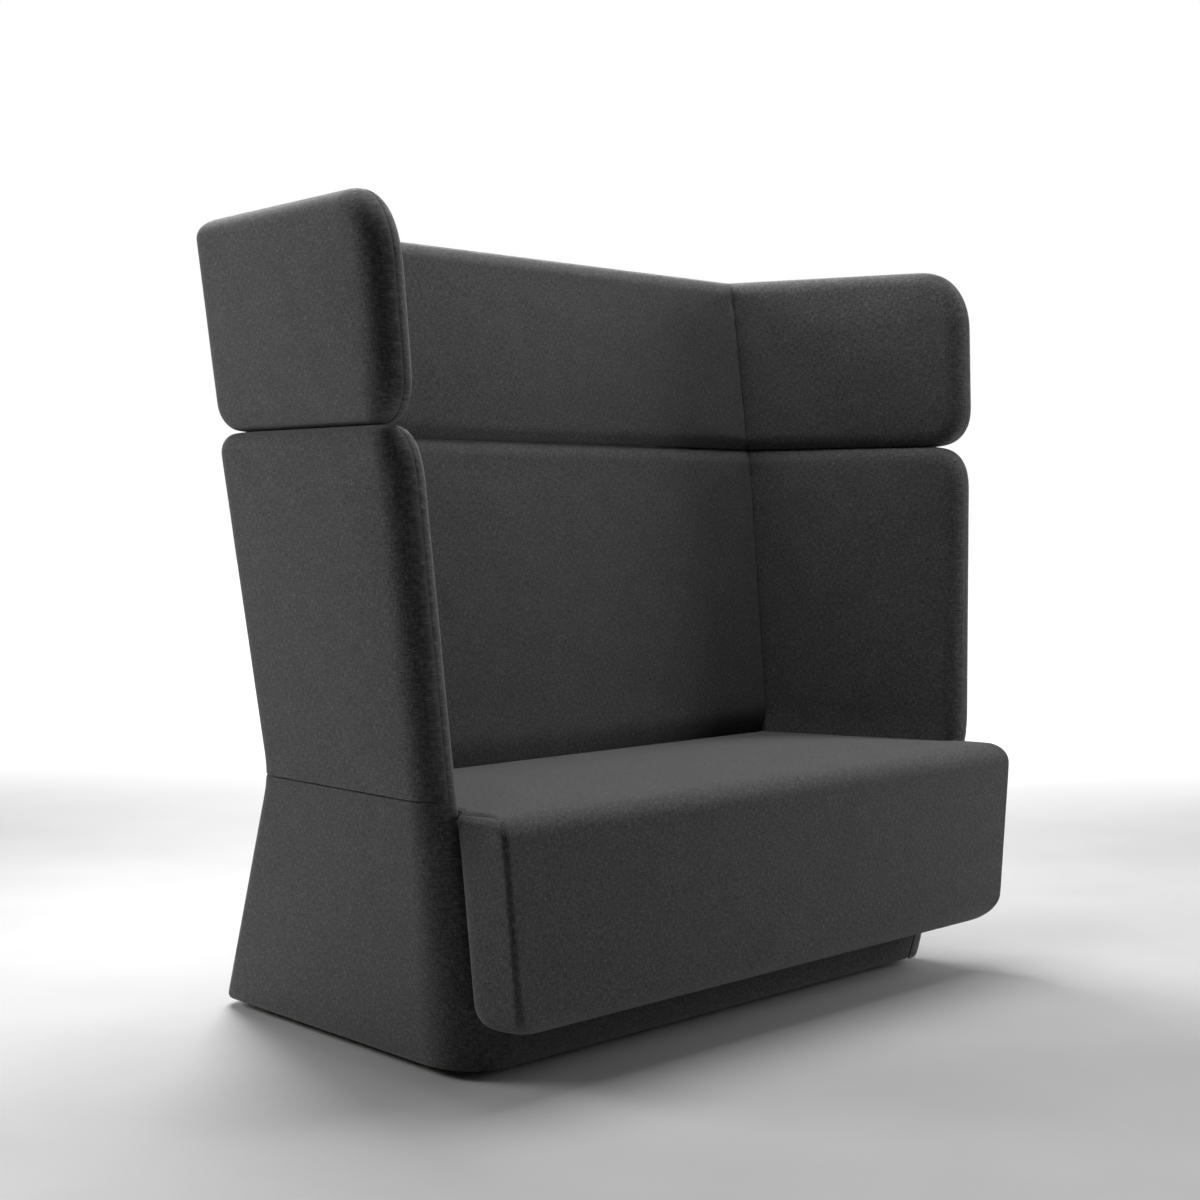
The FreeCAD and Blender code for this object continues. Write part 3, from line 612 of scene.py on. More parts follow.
@dataclass
class BaseCovers:
    """Covers of the base: two sides with wide front corners, the front, the back and the lining of the back."""

    low: float = 0.015
    deck: float = 0.300
    high: float = 0.452
    splay: float = 0.19
    length: float = 0.580
    foot_round: float = 0.105
    waist_round: float = 0.047
    least_round: float = 0.004
    skin: float = 0.031
    lining: float = 0.049
    hem: float = 0.004
    hem_width: float = 0.004
    waist_groove: float = 0.0009
    rim_turns: tuple[float, ...] = (0.0, 0.006, 0.024)
    corner_turns: tuple[float, int] = (0.07, 13)
    run_fade: float = 0.1
    depth_fade: float = 0.05
    front_lap: float = 0.008
    front_columns: int = 90
    recess: float = 0.0025
    recess_span: Pair = (0.975, 0.02)
    inner_shift: float = 1.5
    back_shift: float = 20.0
    front_shift: float = 5.0
    filling: Filling = field(default_factory=lambda: Filling(crown=0.003))

    def front_round(self, z: Array) -> Array:
        """Radius of the outer front corner at height z, which widens downwards."""
        return np.interp(z, (self.low, self.high), (self.foot_round, self.waist_round))

    def lower_hem(self, z: Array) -> Array:
        """Depth that a face draws in at its lower hem."""
        return self.hem * fold(z - self.low, self.hem_width)

    def hems(self, z: Array, inside: bool) -> Array:
        """Depth that a face draws in at its lower hem and, outside, at the seam of the waist."""
        hem = self.lower_hem(z)
        return hem if inside else hem + self.waist_groove * fold(self.high - z, SEAM_WIDTH)

    def rows(self, low: float, high: float) -> Array:
        """Heights of a cover's rows, close together at both edges."""
        return low + stations(high - low, 0.0, Edge.SEAMED, Edge.SEAMED)

    def side_sheets(self) -> tuple[Sheet, Sheet]:
        """Lay out the left cover: its outer face rolls round the front corner to the middle of the wall's end.

        Returns:
            Outer and inner sheets.
        """
        first, count = self.corner_turns
        turns = np.concatenate((self.rim_turns, np.linspace(first, math.pi / 2.0, count)))
        rest = stations(self.length - self.foot_round, 0.0, Edge.SEAMED, Edge.SEAMED)[1:]
        across = np.concatenate((turns, np.full(len(rest), math.pi / 2.0)))
        outer_z, turn = np.meshgrid(self.rows(self.low, self.high), across, indexing="ij")
        onward = np.broadcast_to(np.concatenate((np.zeros(len(turns)), rest)), turn.shape)
        radius = self.front_round(outer_z)
        onward_run = onward * (self.length - radius) / (self.length - self.foot_round)
        sheets = []
        for inside in (False, True):
            z = dropped(outer_z, self.high) if inside else outer_z
            roll = np.clip(PLAN.thickness - radius, self.least_round, None) if inside else radius
            run = roll * (1.0 - np.cos(turn)) + onward_run
            if inside:
                run = run + (radius - roll) * np.clip(onward / self.run_fade, 0.0, 1.0)
                above = z > self.deck
                deep = np.where(above, PLAN.thickness, radius)
                depth = np.where(above, deep - roll * (1.0 - np.sin(turn)), radius)
                skin = np.where(above, PLAN.thickness, self.skin)
                depth = depth + (skin - deep) * np.clip(onward / self.depth_fade, 0.0, 1.0)
                depth = depth - self.hems(z, inside)
            else:
                depth = roll * (1.0 - np.sin(turn)) + self.hems(z, inside)
            points = PLAN.side_wall(run, depth, z, self.length, self.splay)
            sheets.append(Sheet(points, np.stack((run + self.inner_shift * inside, z), axis=-1)))
        return sheets[0], sheets[1]

    def back_sheets(self, low: float, outer: float, inner: float) -> tuple[Sheet, Sheet]:
        """Lay out a cover across the back between two depths.

        Args:
            low: Height of its lower edge.
            outer: Depth of its outer face.
            inner: Depth of its inner face.

        Returns:
            Outer and inner sheets.
        """
        width = 2.0 * float(PLAN.side(PLAN.rear(np.array(low)), np.array(low), np.array(outer), self.splay))
        runs = stations(width, 0.0, Edge.SEAMED, Edge.SEAMED)
        z, run = np.meshgrid(self.rows(low, self.high), runs, indexing="ij")
        share = run / width * 2.0 - 1.0
        sheets = []
        for depth, way in ((outer, 1.0), (inner, -1.0)):
            level = dropped(z, self.high) if depth == PLAN.thickness else z
            points = PLAN.back_wall(share, depth + way * self.hems(z, depth > 0.0), level, self.splay)
            sheets.append(Sheet(points, np.stack((run + depth * self.back_shift, level), axis=-1)))
        return sheets[0], sheets[1]

    def front_sheets(self) -> tuple[Sheet, Sheet]:
        """Lay out the cover of the front under the seat, whose ends lie behind the rolled corners of the sides.

        Returns:
            Outer and inner sheets.
        """
        columns = np.linspace(-1.0, 1.0, self.front_columns)
        z, across = np.meshgrid(self.rows(self.low, self.deck), columns, indexing="ij")
        front = PLAN.front(z)
        x = across * (PLAN.side(front, z, self.front_round(z), self.splay) + self.front_lap)
        hem = self.lower_hem(z)
        start, span = self.recess_span
        behind = self.recess * np.clip((np.abs(across) - start) / span, 0.0, 1.0)
        cloth = np.stack((x + self.front_shift, z), axis=-1)
        outer, inner = (Sheet(np.stack((x, front + depth, z), axis=-1), cloth)
                        for depth in (hem + behind, self.skin - hem))
        return outer, inner

    def build(self, finish: "Finish") -> list[Piece]:
        """Make and dress the covers.

        Args:
            finish: Cloth of the covers.

        Returns:
            The five covers.
        """
        left = self.side_sheets()
        layouts = {
            "base_cover_left": left,
            "base_cover_right": (left[0].mirrored(), left[1].mirrored()),
            "base_cover_back": self.back_sheets(self.low, 0.0, self.skin),
            "base_lining_back": self.back_sheets(self.deck, self.lining, PLAN.thickness),
            "base_cover_front": self.front_sheets(),
        }
        pieces = []
        for node, sheets in layouts.items():
            piece = closed_piece(f"{node}_cloth", *sheets)
            finish_padded(piece, self.filling, finish, node)
            pieces.append(piece)
        return pieces


@dataclass
class Seat:
    """Seat cushion: a crowned top between the walls that rolls over into a deep apron with sewn ends."""

    front: float = -0.445
    bottom: float = 0.092
    back: float = -0.336
    deck: float = 0.315
    edge_top: float = 0.434
    crown: float = 0.006
    half_top: float = 0.7255
    lean: float = 0.115
    splay: float = 0.19
    side_gap: float = 0.0015
    top_roll: float = 0.038
    bottom_roll: float = 0.046
    corner_roll: float = 0.011
    side_roll: float = 0.016
    foot_roll: float = 0.034
    rear_roll: float = 0.027
    pillow_drop: float = 0.06
    end_top: Pair = (0.017, 0.040)
    end_foot: Pair = (0.056, 0.050)
    seam_groove: float = 0.0016
    groove_shares: tuple[float, ...] = (0.3, 0.0, 0.6, 0.7, 0.0)
    rows_top: int = 30
    rows_turn: int = 12
    rows_drop: int = 18
    columns: int = 70
    shelf: tuple[float, ...] = (0.0, 0.004, 0.010, 0.020, 0.034, 0.050)
    shelf_gap: float = 0.002
    behind_apron: float = 0.001
    level_slack: float = 1e-6
    wrap_turns: tuple[float, ...] = (90.0, 80.0, 70.0, 60.0, 52.0, 47.5, 45.0)
    wrap_grooves: tuple[float, ...] = (0.0, 0.0, 0.0, 0.0, 0.12, 0.5, 1.0)
    end_turns: tuple[float, ...] = (47.5, 52.0, 60.0, 70.0, 80.0, 90.0)
    end_grooves: tuple[float, ...] = (0.5, 0.12)
    end_steps: tuple[float, ...] = (0.2, 0.4, 0.58, 0.72, 0.83, 0.91, 0.96, 0.99, 1.0)
    cloth_shift: float = 7.0
    inner_shift: float = 2.0
    filling: Filling = field(default_factory=lambda: Filling(crown=0.006))

    def rear(self, z: float) -> float:
        """Return y of the seat's rear edge at height z."""
        return float(PLAN.rear(np.array(z))) - PLAN.thickness - self.side_gap

    def profile(self) -> tuple[Array, Array, Array, Array]:
        """Draw the section of the seat as two paths, from the rear to the foot of the apron.

        The outer path runs forward over the top, turns down through a quarter circle and ends under the apron;
        the inner path runs forward under the top and down the back of the apron.

        Returns:
            Outer path and inner path as y and z, and at each point the radius of the end's edge and the depth
            of its seam.
        """
        rear_top, rear_low = self.rear(self.edge_top), self.rear(self.deck)
        behind = np.linspace(0.0, 1.0, self.rows_top)[:-1]
        turn = np.linspace(0.0, math.pi / 2.0, self.rows_turn)
        drop = np.linspace(0.0, 1.0, self.rows_drop)[1:-1]
        turned = self.edge_top - self.top_roll
        y_out = np.concatenate((
            rear_top + behind * (self.back + self.shelf_gap - rear_top),
            self.back - np.array(self.shelf),
            self.front + self.top_roll * (1.0 - np.sin(turn)),
            np.full(len(drop), self.front),
            self.front + self.bottom_roll * (1.0 - np.cos(turn)),
        ))
        level = len(behind) + len(self.shelf)
        z_out = np.concatenate((
            np.full(level, self.edge_top),
            self.edge_top - self.top_roll * (1.0 - np.cos(turn)),
            turned + drop * (self.bottom + self.bottom_roll - turned),
            self.bottom + self.bottom_roll * (1.0 - np.sin(turn)),
        ))
        y_in = np.full(len(y_out), self.back)
        y_in[:len(behind)] = rear_low + behind * (self.back - rear_low)
        row = np.arange(len(y_out))
        fall = np.clip((turned - z_out) / (turned - self.bottom), 0.0, 1.0)
        z_in = np.where(row >= level + len(turn) // 2, self.deck + fall * (self.bottom - self.deck), self.deck)
        places = np.cumsum((0, level, len(turn), len(drop), len(turn)))
        rolls = (self.side_roll, self.side_roll, self.corner_roll, self.corner_roll, self.foot_roll)
        groove = self.seam_groove * np.interp(row, places, self.groove_shares)
        outer, inner = np.stack((y_out, z_out), axis=-1), np.stack((y_in, z_in), axis=-1)
        return outer, inner, np.interp(row, places, rolls), groove

    def apron_half(self, z: Array) -> Array:
        """Half width of the apron at height z: sides that lean in downwards and roll in at the top and foot."""
        (top_in, top_tall), (foot_in, foot_tall) = self.end_top, self.end_foot
        top = top_in * rolled_depth(np.clip(self.edge_top - z, 0.0, None) / top_tall, 1.0)
        foot = foot_in * rolled_depth((z - self.bottom) / foot_tall, 1.0)
        return self.half_top - self.lean * (self.edge_top - z) - top - foot

    def half_width(self, y: Array, z: Array) -> Array:
        """Half width at y and z: the sides of the apron, and the space between the walls behind it."""
        between = PLAN.side(y, z, np.array(PLAN.thickness + self.side_gap), self.splay)
        return np.where(y > self.back + self.behind_apron, between, self.apron_half(z))

    def wrap(self, outer: Array, radius: Array, sewn: Array) -> Array:
        """Lay the wrap across the sofa.

        Points near an end lie on a quarter circle up to its middle, where the seam is. The top is crowned by a
        sine from front to rear that falls off with the fourth power of the place across.

        Args:
            outer: Outer path of the section.
            radius: Radius of the end's edge at each point of the path.
            sewn: Depth of the end's seam at each point of the path.

        Returns:
            Points of the wrap, rows along the path and columns from left to right.
        """
        tangent = np.gradient(outer, axis=0)
        tangent /= np.linalg.norm(tangent, axis=1)[:, None]
        inward = np.stack((-tangent[:, 1], tangent[:, 0]), axis=-1)
        inward = np.where(outer[:, 1:2] < self.edge_top - self.top_roll, np.array([1.0, 0.0]), inward)
        turns = np.radians(self.wrap_turns)
        half = self.half_width(outer[:, 0], outer[:, 1])
        even = np.linspace(-1.0, 1.0, self.columns)[None, 1:-1] * (half - radius)[:, None]
        right = half[:, None] - radius[:, None] * (1.0 - np.cos(turns))
        x = np.concatenate((-right[:, ::-1], even, right), axis=1)
        dip = radius[:, None] * (1.0 - np.sin(turns)) + sewn[:, None] * np.array(self.wrap_grooves)
        dip = np.concatenate((dip[:, ::-1], np.zeros_like(even), dip), axis=1)
        span = outer[:, 0] - outer[:, 0].min()
        along = np.sin(math.pi * span / span.max()) * (outer[:, 1] > self.edge_top - self.level_slack)
        crowned = self.crown * np.clip(1.0 - (x / half[:, None]) ** 4, 0.0, 1.0) * along[:, None]
        y = outer[:, 0:1] + inward[:, 0:1] * dip
        z = outer[:, 1:2] + inward[:, 1:2] * dip + crowned
        return np.stack((x, y, z), axis=-1)

    def end(self, outer: Array, inner: Array, radius: Array,
            sewn: Array) -> tuple[Array, Array, Array]:
        """Lay the right end panel from its seam to the inner path, rolled in along its rear edge.

        Args:
            outer: Outer path of the section.
            inner: Inner path of the section.
            radius: Radius of the end's edge at each point of the path.
            sewn: Depth of the end's seam at each point of the path.

        Returns:
            Points of the end, their distances from the outer path, and the half width at the inner path.
        """
        across = inner - outer
        thick, wide = np.linalg.norm(across, axis=1)[:, None], radius[:, None]
        turns = np.radians(self.end_turns)
        step = np.concatenate((wide * (1.0 - np.cos(turns)), wide + np.array(self.end_steps) * (thick - wide)),
                              axis=1)
        sink = np.zeros_like(step)
        sink[:, :len(turns)] = wide * (1.0 - np.sin(turns))
        sink[:, :len(self.end_grooves)] += sewn[:, None] * np.array(self.end_grooves)
        y = outer[:, 0:1] + across[:, 0:1] / thick * step
        z = outer[:, 1:2] + across[:, 1:2] / thick * step
        below = np.sqrt(np.clip((self.edge_top - z) / self.pillow_drop, 0.0, 1.0))
        pillowed = rolled_depth(self.back - y, self.rear_roll) * below
        half = np.where(outer[:, 0:1] > self.back + self.behind_apron, self.half_width(y, z),
                        self.apron_half(z) - pillowed)
        return np.stack((half - sink, y, z), axis=-1), step, half[:, -1:]

    def sheets(self) -> tuple[Sheet, Sheet]:
        """Join the wrap and both ends into the outer sheet and lay the inner one along the inner path.

        Returns:
            Outer and inner sheets.
        """
        outer, inner, radius, sewn = self.profile()
        end, step, reach = self.end(outer, inner, radius, sewn)
        points = np.concatenate((end[:, ::-1] * MIRROR, self.wrap(outer, radius, sewn), end), axis=1)
        x = points[..., 0]
        length = np.concatenate(([0.0], np.cumsum(np.linalg.norm(np.diff(outer, axis=0), axis=1))))
        cloth = np.stack((np.broadcast_to(length[:, None], x.shape) + self.cloth_shift, x), axis=-1)
        count = step.shape[1]
        cloth[:, :count, 1] = -self.half_top - step[:, ::-1]
        cloth[:, -count:, 1] = self.half_top + step
        under = np.empty_like(points)
        under[..., 0] = np.clip(x, -reach, reach)
        under[:, 0, 0], under[:, -1, 0] = -reach[:, 0], reach[:, 0]
        under[..., 1:] = inner[:, None, :]
        return Sheet(points, cloth), Sheet(under, cloth + np.array([self.inner_shift, 0.0]))

    def build(self, finish: "Finish") -> Piece:
        """Make and dress the cushion.

        Args:
            finish: Cloth of the cushion.

        Returns:
            The cushion.
        """
        piece = closed_piece("seat_cushion_cloth", *self.sheets())
        finish_padded(piece, self.filling, finish, "seat_cushion")
        return piece


@dataclass
class DustCover:
    """Thin cloth stapled under the base, with its front corners cut off, that sags a little in the middle."""

    level: float = 0.0145
    depth: float = 0.043
    splay: float = 0.19
    corner_cut: Pair = (0.0749, 0.0736)
    sag: float = 0.003
    thickness: float = 0.0008
    rows: int = 34
    columns: int = 48

    def half_width(self, y: Array) -> Array:
        """Half width at y: the sides of the base less the depth, or the cut across a corner if less."""
        z = np.array(self.level)
        front = PLAN.front(z) + self.depth
        across, along = self.corner_cut
        at_front = PLAN.side(front, z, self.depth, self.splay) - across
        at_side = PLAN.side(front + along, z, self.depth, self.splay)
        cut = at_front + (y - front) / along * (at_side - at_front)
        return np.minimum(PLAN.side(y, z, self.depth, self.splay), cut)

    def build(self, finish: "Finish") -> Piece:
        """Make and dress the sheet: two faces a thickness apart, whose sag is a parabola both ways.

        Args:
            finish: Its cloth.

        Returns:
            The sheet.
        """
        z = np.array(self.level)
        rows = np.linspace(float(PLAN.front(z)) + self.depth, float(PLAN.rear(z)) - self.depth, self.rows)
        y, share = np.meshgrid(rows, np.linspace(-1.0, 1.0, self.columns), indexing="ij")
        x = share * self.half_width(y)
        down = (y - rows[0]) / (rows[-1] - rows[0])
        sunk = self.level - self.sag * (1.0 - share ** 2) * 4.0 * down * (1.0 - down)
        cloth = np.stack((x, y), axis=-1)
        faces = [Sheet(np.stack((x, y, sunk + step * self.thickness), axis=-1), cloth) for step in (-0.5, 0.5)]
        piece = closed_piece("dust_cover_cloth", *faces)
        finish.dress(piece)
        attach(piece, BODY)
        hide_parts("dust_cover")
        half = self.half_width(rows)
        return piece


class NodeTree:
    """Small helper that fills the node tree of a material or a world."""

    def __init__(self, owner: bpy.types.Material | bpy.types.World) -> None:
        """Start with an empty tree."""
        owner.use_nodes = True
        self.owner = owner
        self.tree = owner.node_tree
        self.tree.nodes.clear()

    def add(self, kind: str, inputs: dict | None = None, **settings) -> bpy.types.Node:
        """Add a node.

        Args:
            kind: Type of the node.
            inputs: Values or output sockets by input name or number.
            settings: Properties of the node.

        Returns:
            The node.
        """
        node = self.tree.nodes.new(kind)
        for key, value in settings.items():
            setattr(node, key, value)
        for key, value in (inputs or {}).items():
            if isinstance(value, Socket):
                self.tree.links.new(value, node.inputs[key])
            else:
                node.inputs[key].default_value = value
        return node

    def place(self) -> Socket:
        """Return the place on the object, in metres."""
        return self.add("ShaderNodeTexCoord").outputs["Object"]

    def math(self, operation: str, first, second=0.0, third=0.0) -> Socket:
        """Combine numbers or sockets."""
        return self.add("ShaderNodeMath", {0: first, 1: second, 2: third}, operation=operation).outputs[0]

    def noise(self, vector: Socket, scale: float, detail: float,
              rough: float = 0.5) -> Socket:
        """Add noise on a vector and return its value."""
        inputs = {"Vector": vector, "Scale": scale, "Detail": detail, "Roughness": rough}
        return self.add("ShaderNodeTexNoise", inputs).outputs["Fac"]

    def scaled(self, vector: Socket, scale: Triple) -> Socket:
        """Stretch a vector along its axes."""
        return self.add("ShaderNodeMapping", {"Vector": vector, "Scale": scale}).outputs[0]

    def ramp(self, value: Socket, stops: list[tuple[float, tuple]]) -> Socket:
        """Turn a value into a colour through the given stops."""
        node = self.add("ShaderNodeValToRGB", {"Fac": value})
        while len(node.color_ramp.elements) < len(stops):
            node.color_ramp.elements.new(0.5)
        for element, (place, colour) in zip(node.color_ramp.elements, stops):
            element.position = place
            element.color = (*colour, 1.0)
        return node.outputs["Color"]

    def close(self, shader: bpy.types.Node,
              output: str = "ShaderNodeOutputMaterial") -> bpy.types.Material | bpy.types.World:
        """Send a shader to the output and return the material or world."""
        self.add(output, {"Surface": shader.outputs[0]})
        return self.owner

    def surface(self, colour: Socket, height: Socket, relief: Pair,
                inputs: dict) -> bpy.types.Material:
        """Close a material with a principled shader.

        Args:
            colour: Base colour.
            height: Height of the bump.
            relief: Strength of the bump and its distance in metres.
            inputs: Other inputs of the shader.

        Returns:
            The material.
        """
        strength, distance = relief
        bump = self.add("ShaderNodeBump", {"Height": height, "Strength": strength, "Distance": distance})
        inputs = {"Base Color": colour, "Normal": bump.outputs[0], **inputs}
        return self.close(self.add("ShaderNodeBsdfPrincipled", inputs))


@dataclass(frozen=True)
class Finish:
    """Finish of a piece: its name and the slot that it fills."""

    name: str
    slot: str

    def material(self) -> bpy.types.Material:
        """Return the finish's material, made once."""
        return bpy.data.materials.get(self.name) or self.mix(NodeTree(bpy.data.materials.new(self.name)))

    def mix(self, tree: NodeTree) -> bpy.types.Material:
        """Make the material on an empty tree."""
        raise NotImplementedError

    def dress(self, piece: Piece) -> None:
        """Give a piece this finish and no other."""
        piece.data.materials.clear()
        piece.data.materials.append(self.material())


@dataclass(frozen=True)
class MelangeWool(Finish):
    """Charcoal wool cloth of mottled yarns in a plain weave."""

    dark: Triple = (0.026, 0.026, 0.027)
    middle: Triple = (0.054, 0.054, 0.055)
    pale: Triple = (0.118, 0.118, 0.120)
    stops: Triple = (0.34, 0.50, 0.68)
    yarn: float = 0.0015
    yarn_noise: Triple = (360.0, 3.0, 0.65)
    yarn_stretch: float = 0.3
    cloud_noise: Triple = (26.0, 4.0, 0.6)
    cloud_share: float = 0.10
    slub_scales: Pair = (520.0, 500.0)
    slub_stretch: float = 0.16
    slub_range: Triple = (0.66, 0.80, 0.16)
    weave_height: float = 0.6
    relief: Pair = (0.22, 0.0009)
    roughness: float = 0.92
    gloss: float = 0.18
    nap: Pair = (0.18, 0.45)
    nap_tint: tuple[float, float, float, float] = (0.9, 0.9, 0.92, 1.0)

    def mix(self, tree: NodeTree) -> bpy.types.Material:
        """Make the cloth: streaky yarns both ways, a plain weave for the bump and a soft nap."""
        cloth = tree.add("ShaderNodeUVMap", uv_map="cloth").outputs[0]
        warp = tree.noise(tree.scaled(cloth, (1.0, self.yarn_stretch, 1.0)), *self.yarn_noise)
        weft = tree.noise(tree.scaled(cloth, (self.yarn_stretch, 1.0, 1.0)), *self.yarn_noise)
        cloud = tree.noise(tree.place(), *self.cloud_noise)
        split = tree.add("ShaderNodeSeparateXYZ", {0: cloth})
        pitch = math.pi / self.yarn
        over, under = (tree.math("SINE", tree.math("MULTIPLY", split.outputs[axis], pitch)) for axis in (0, 1))
        weave = tree.math("MULTIPLY", over, under)
        choose = tree.math("MULTIPLY_ADD", weave, 0.5, 0.5)
        streak = tree.add("ShaderNodeMix", {0: choose, 2: warp, 3: weft}).outputs[0]
        tone = tree.math("MULTIPLY", tree.math("SUBTRACT", cloud, 0.5), self.cloud_share)
        long_scale, cross_scale = self.slub_scales
        long_slub = tree.noise(tree.scaled(cloth, (1.0, self.slub_stretch, 1.0)), long_scale, 1.0)
        cross_slub = tree.noise(tree.scaled(cloth, (self.slub_stretch, 1.0, 1.0)), cross_scale, 1.0)
        low, high, most = self.slub_range
        slub = tree.add("ShaderNodeMapRange", {"Value": tree.math("MAXIMUM", long_slub, cross_slub),
                                               "From Min": low, "From Max": high, "To Max": most})
        value = tree.math("ADD", tree.math("ADD", streak, tone), slub.outputs[0])
        colour = tree.ramp(value, list(zip(self.stops, (self.dark, self.middle, self.pale))))
        height = tree.math("MULTIPLY_ADD", tree.math("ABSOLUTE", weave), self.weave_height, streak)
        return tree.surface(colour, height, self.relief, {
            "Roughness": self.roughness, "Specular IOR Level": self.gloss, "Sheen Weight": self.nap[0],
            "Sheen Roughness": self.nap[1], "Sheen Tint": self.nap_tint})


@dataclass(frozen=True)
class Timber(Finish):
    """Bare wood with long grain along X."""

    pale: Triple = (0.62, 0.45, 0.27)
    dark: Triple = (0.36, 0.22, 0.11)
    stops: Pair = (0.32, 0.68)
    grain_scale: Triple = (2.0, 38.0, 38.0)
    grain_noise: Triple = (1.6, 6.0, 0.6)
    pore_scale: Triple = (14.0, 420.0, 420.0)
    pore_tone: Pair = (0.25, -0.12)
    relief: Pair = (0.15, 0.0004)
    roughness: float = 0.62

    def mix(self, tree: NodeTree) -> bpy.types.Material:
        """Make the wood: stretched noise for the grain and a finer one for the pores."""
        place = tree.place()
        grain = tree.noise(tree.scaled(place, self.grain_scale), *self.grain_noise)
        pores = tree.noise(tree.scaled(place, self.pore_scale), 1.0, 2.0)
        value = tree.math("ADD", grain, tree.math("MULTIPLY_ADD", pores, *self.pore_tone))
        colour = tree.ramp(value, list(zip(self.stops, (self.dark, self.pale))))
        return tree.surface(colour, pores, self.relief, {"Roughness": self.roughness})


@dataclass(frozen=True)
class Metal(Finish):
    """Steel, as rolled or plated."""

    tint: Triple = (0.42, 0.43, 0.45)
    shade: Triple = (0.26, 0.27, 0.29)
    gloss: Pair = (0.30, 0.55)
    stops: Pair = (0.35, 0.65)
    cloud_noise: Triple = (45.0, 5.0, 0.6)
    scratch_scale: Triple = (900.0, 900.0, 30.0)
    relief: Pair = (0.08, 0.0002)

    def mix(self, tree: NodeTree) -> bpy.types.Material:
        """Make the metal: cloudy tint and roughness with fine scratches."""
        place = tree.place()
        cloud = tree.noise(place, *self.cloud_noise)
        scratch = tree.noise(tree.scaled(place, self.scratch_scale), 1.0, 2.0)
        colour = tree.ramp(cloud, list(zip(self.stops, (self.shade, self.tint))))
        least, most = self.gloss
        rough = tree.add("ShaderNodeMapRange", {"Value": cloud, "To Min": least, "To Max": most}).outputs[0]
        return tree.surface(colour, scratch, self.relief, {"Metallic": 1.0, "Roughness": rough})


@dataclass(frozen=True)
class Moulded(Finish):
    """Plain dark moulded plastic or felted underside cloth."""

    tint: Triple = (0.020, 0.020, 0.022)
    shade: Triple = (0.010, 0.010, 0.011)
    grain: Triple = (1600.0, 3.0, 0.6)
    relief: Pair = (0.3, 0.0002)
    stops: Pair = (0.38, 0.62)
    roughness: float = 0.7

    def mix(self, tree: NodeTree) -> bpy.types.Material:
        """Make the surface: a fine pebble in colour and bump."""
        pebble = tree.noise(tree.place(), *self.grain)
        colour = tree.ramp(pebble, list(zip(self.stops, (self.shade, self.tint))))
        return tree.surface(colour, pebble, self.relief, {"Roughness": self.roughness})


WOOL = MelangeWool("melange_wool", "wool_fabric")
PLYWOOD = Timber("birch_plywood", "plywood")
SOFTWOOD = Timber("solid_softwood", "solid_wood", pale=(0.66, 0.50, 0.30), dark=(0.45, 0.29, 0.14))
STEEL = Metal("rolled_steel", "steel_plate")
ZINC = Metal("zinc_plate", "zinc_screw", tint=(0.62, 0.63, 0.64), shade=(0.45, 0.46, 0.48), gloss=(0.22, 0.42))
GLIDE = Moulded("glide_plastic", "glide_plastic")
LINING = Moulded("underside_cloth", "underside_cloth", tint=(0.030, 0.030, 0.031), shade=(0.016, 0.016, 0.017),
                 grain=(900.0, 3.0, 0.6), relief=(0.3, 0.0004))

NODE_FINISHES = {
    PLYWOOD: ("base_board", "base_side_left", "base_side_right", "base_back_panel", "base_front_panel",
              "seat_bearers", "seat_deck", "apron_board", "apron_ribs", "shell_core_left", "shell_core_right",
              "shell_core_back", "head_core_left", "head_core_right", "head_core_back"),
    SOFTWOOD: ("corner_blocks",),
    STEEL: ("shell_corner_brackets", "waist_brackets", "head_corner_brackets", "head_bars"),
    ZINC: ("head_bolts", "seat_screws", "glide_screws"),
    GLIDE: ("glides",),
}


@dataclass(frozen=True)
class Lamp:
    """Soft rectangular lamp: where it hangs, the point it faces, its width and height and its watts."""

    name: str
    place: Triple
    aim: Triple
    size: Pair
    power: float

    def hang(self) -> None:
        """Hang the lamp."""
        data = bpy.data.lights.new(self.name, "AREA")
        data.shape = "RECTANGLE"
        data.size, data.size_y = self.size
        data.energy = self.power
        lamp = bpy.data.objects.new(self.name, data)
        lamp.location = self.place
        way = np.array(self.aim) - np.array(self.place)
        tilt = math.atan2(math.hypot(way[0], way[1]), -way[2])
        lamp.rotation_euler = (tilt, 0.0, math.atan2(-way[0], way[1]))
        bpy.context.scene.collection.objects.link(lamp)


LAMPS = (
    Lamp("left_rear", place=(-2.8, 2.6, 2.1), aim=(-0.7, 0.0, 0.6), size=(2.0, 1.2), power=92.0),
    Lamp("overhead", place=(0.1, 0.25, 3.4), aim=(0.0, 0.0, 0.6), size=(2.4, 1.8), power=104.0),
    Lamp("right_front", place=(2.9, -2.3, 1.4), aim=(0.0, -0.3, 0.6), size=(1.6, 1.8), power=60.0),
    Lamp("rear_top", place=(1.0, 1.9, 2.6), aim=(0.4, 0.3, 1.3), size=(2.0, 0.6), power=115.0),
)


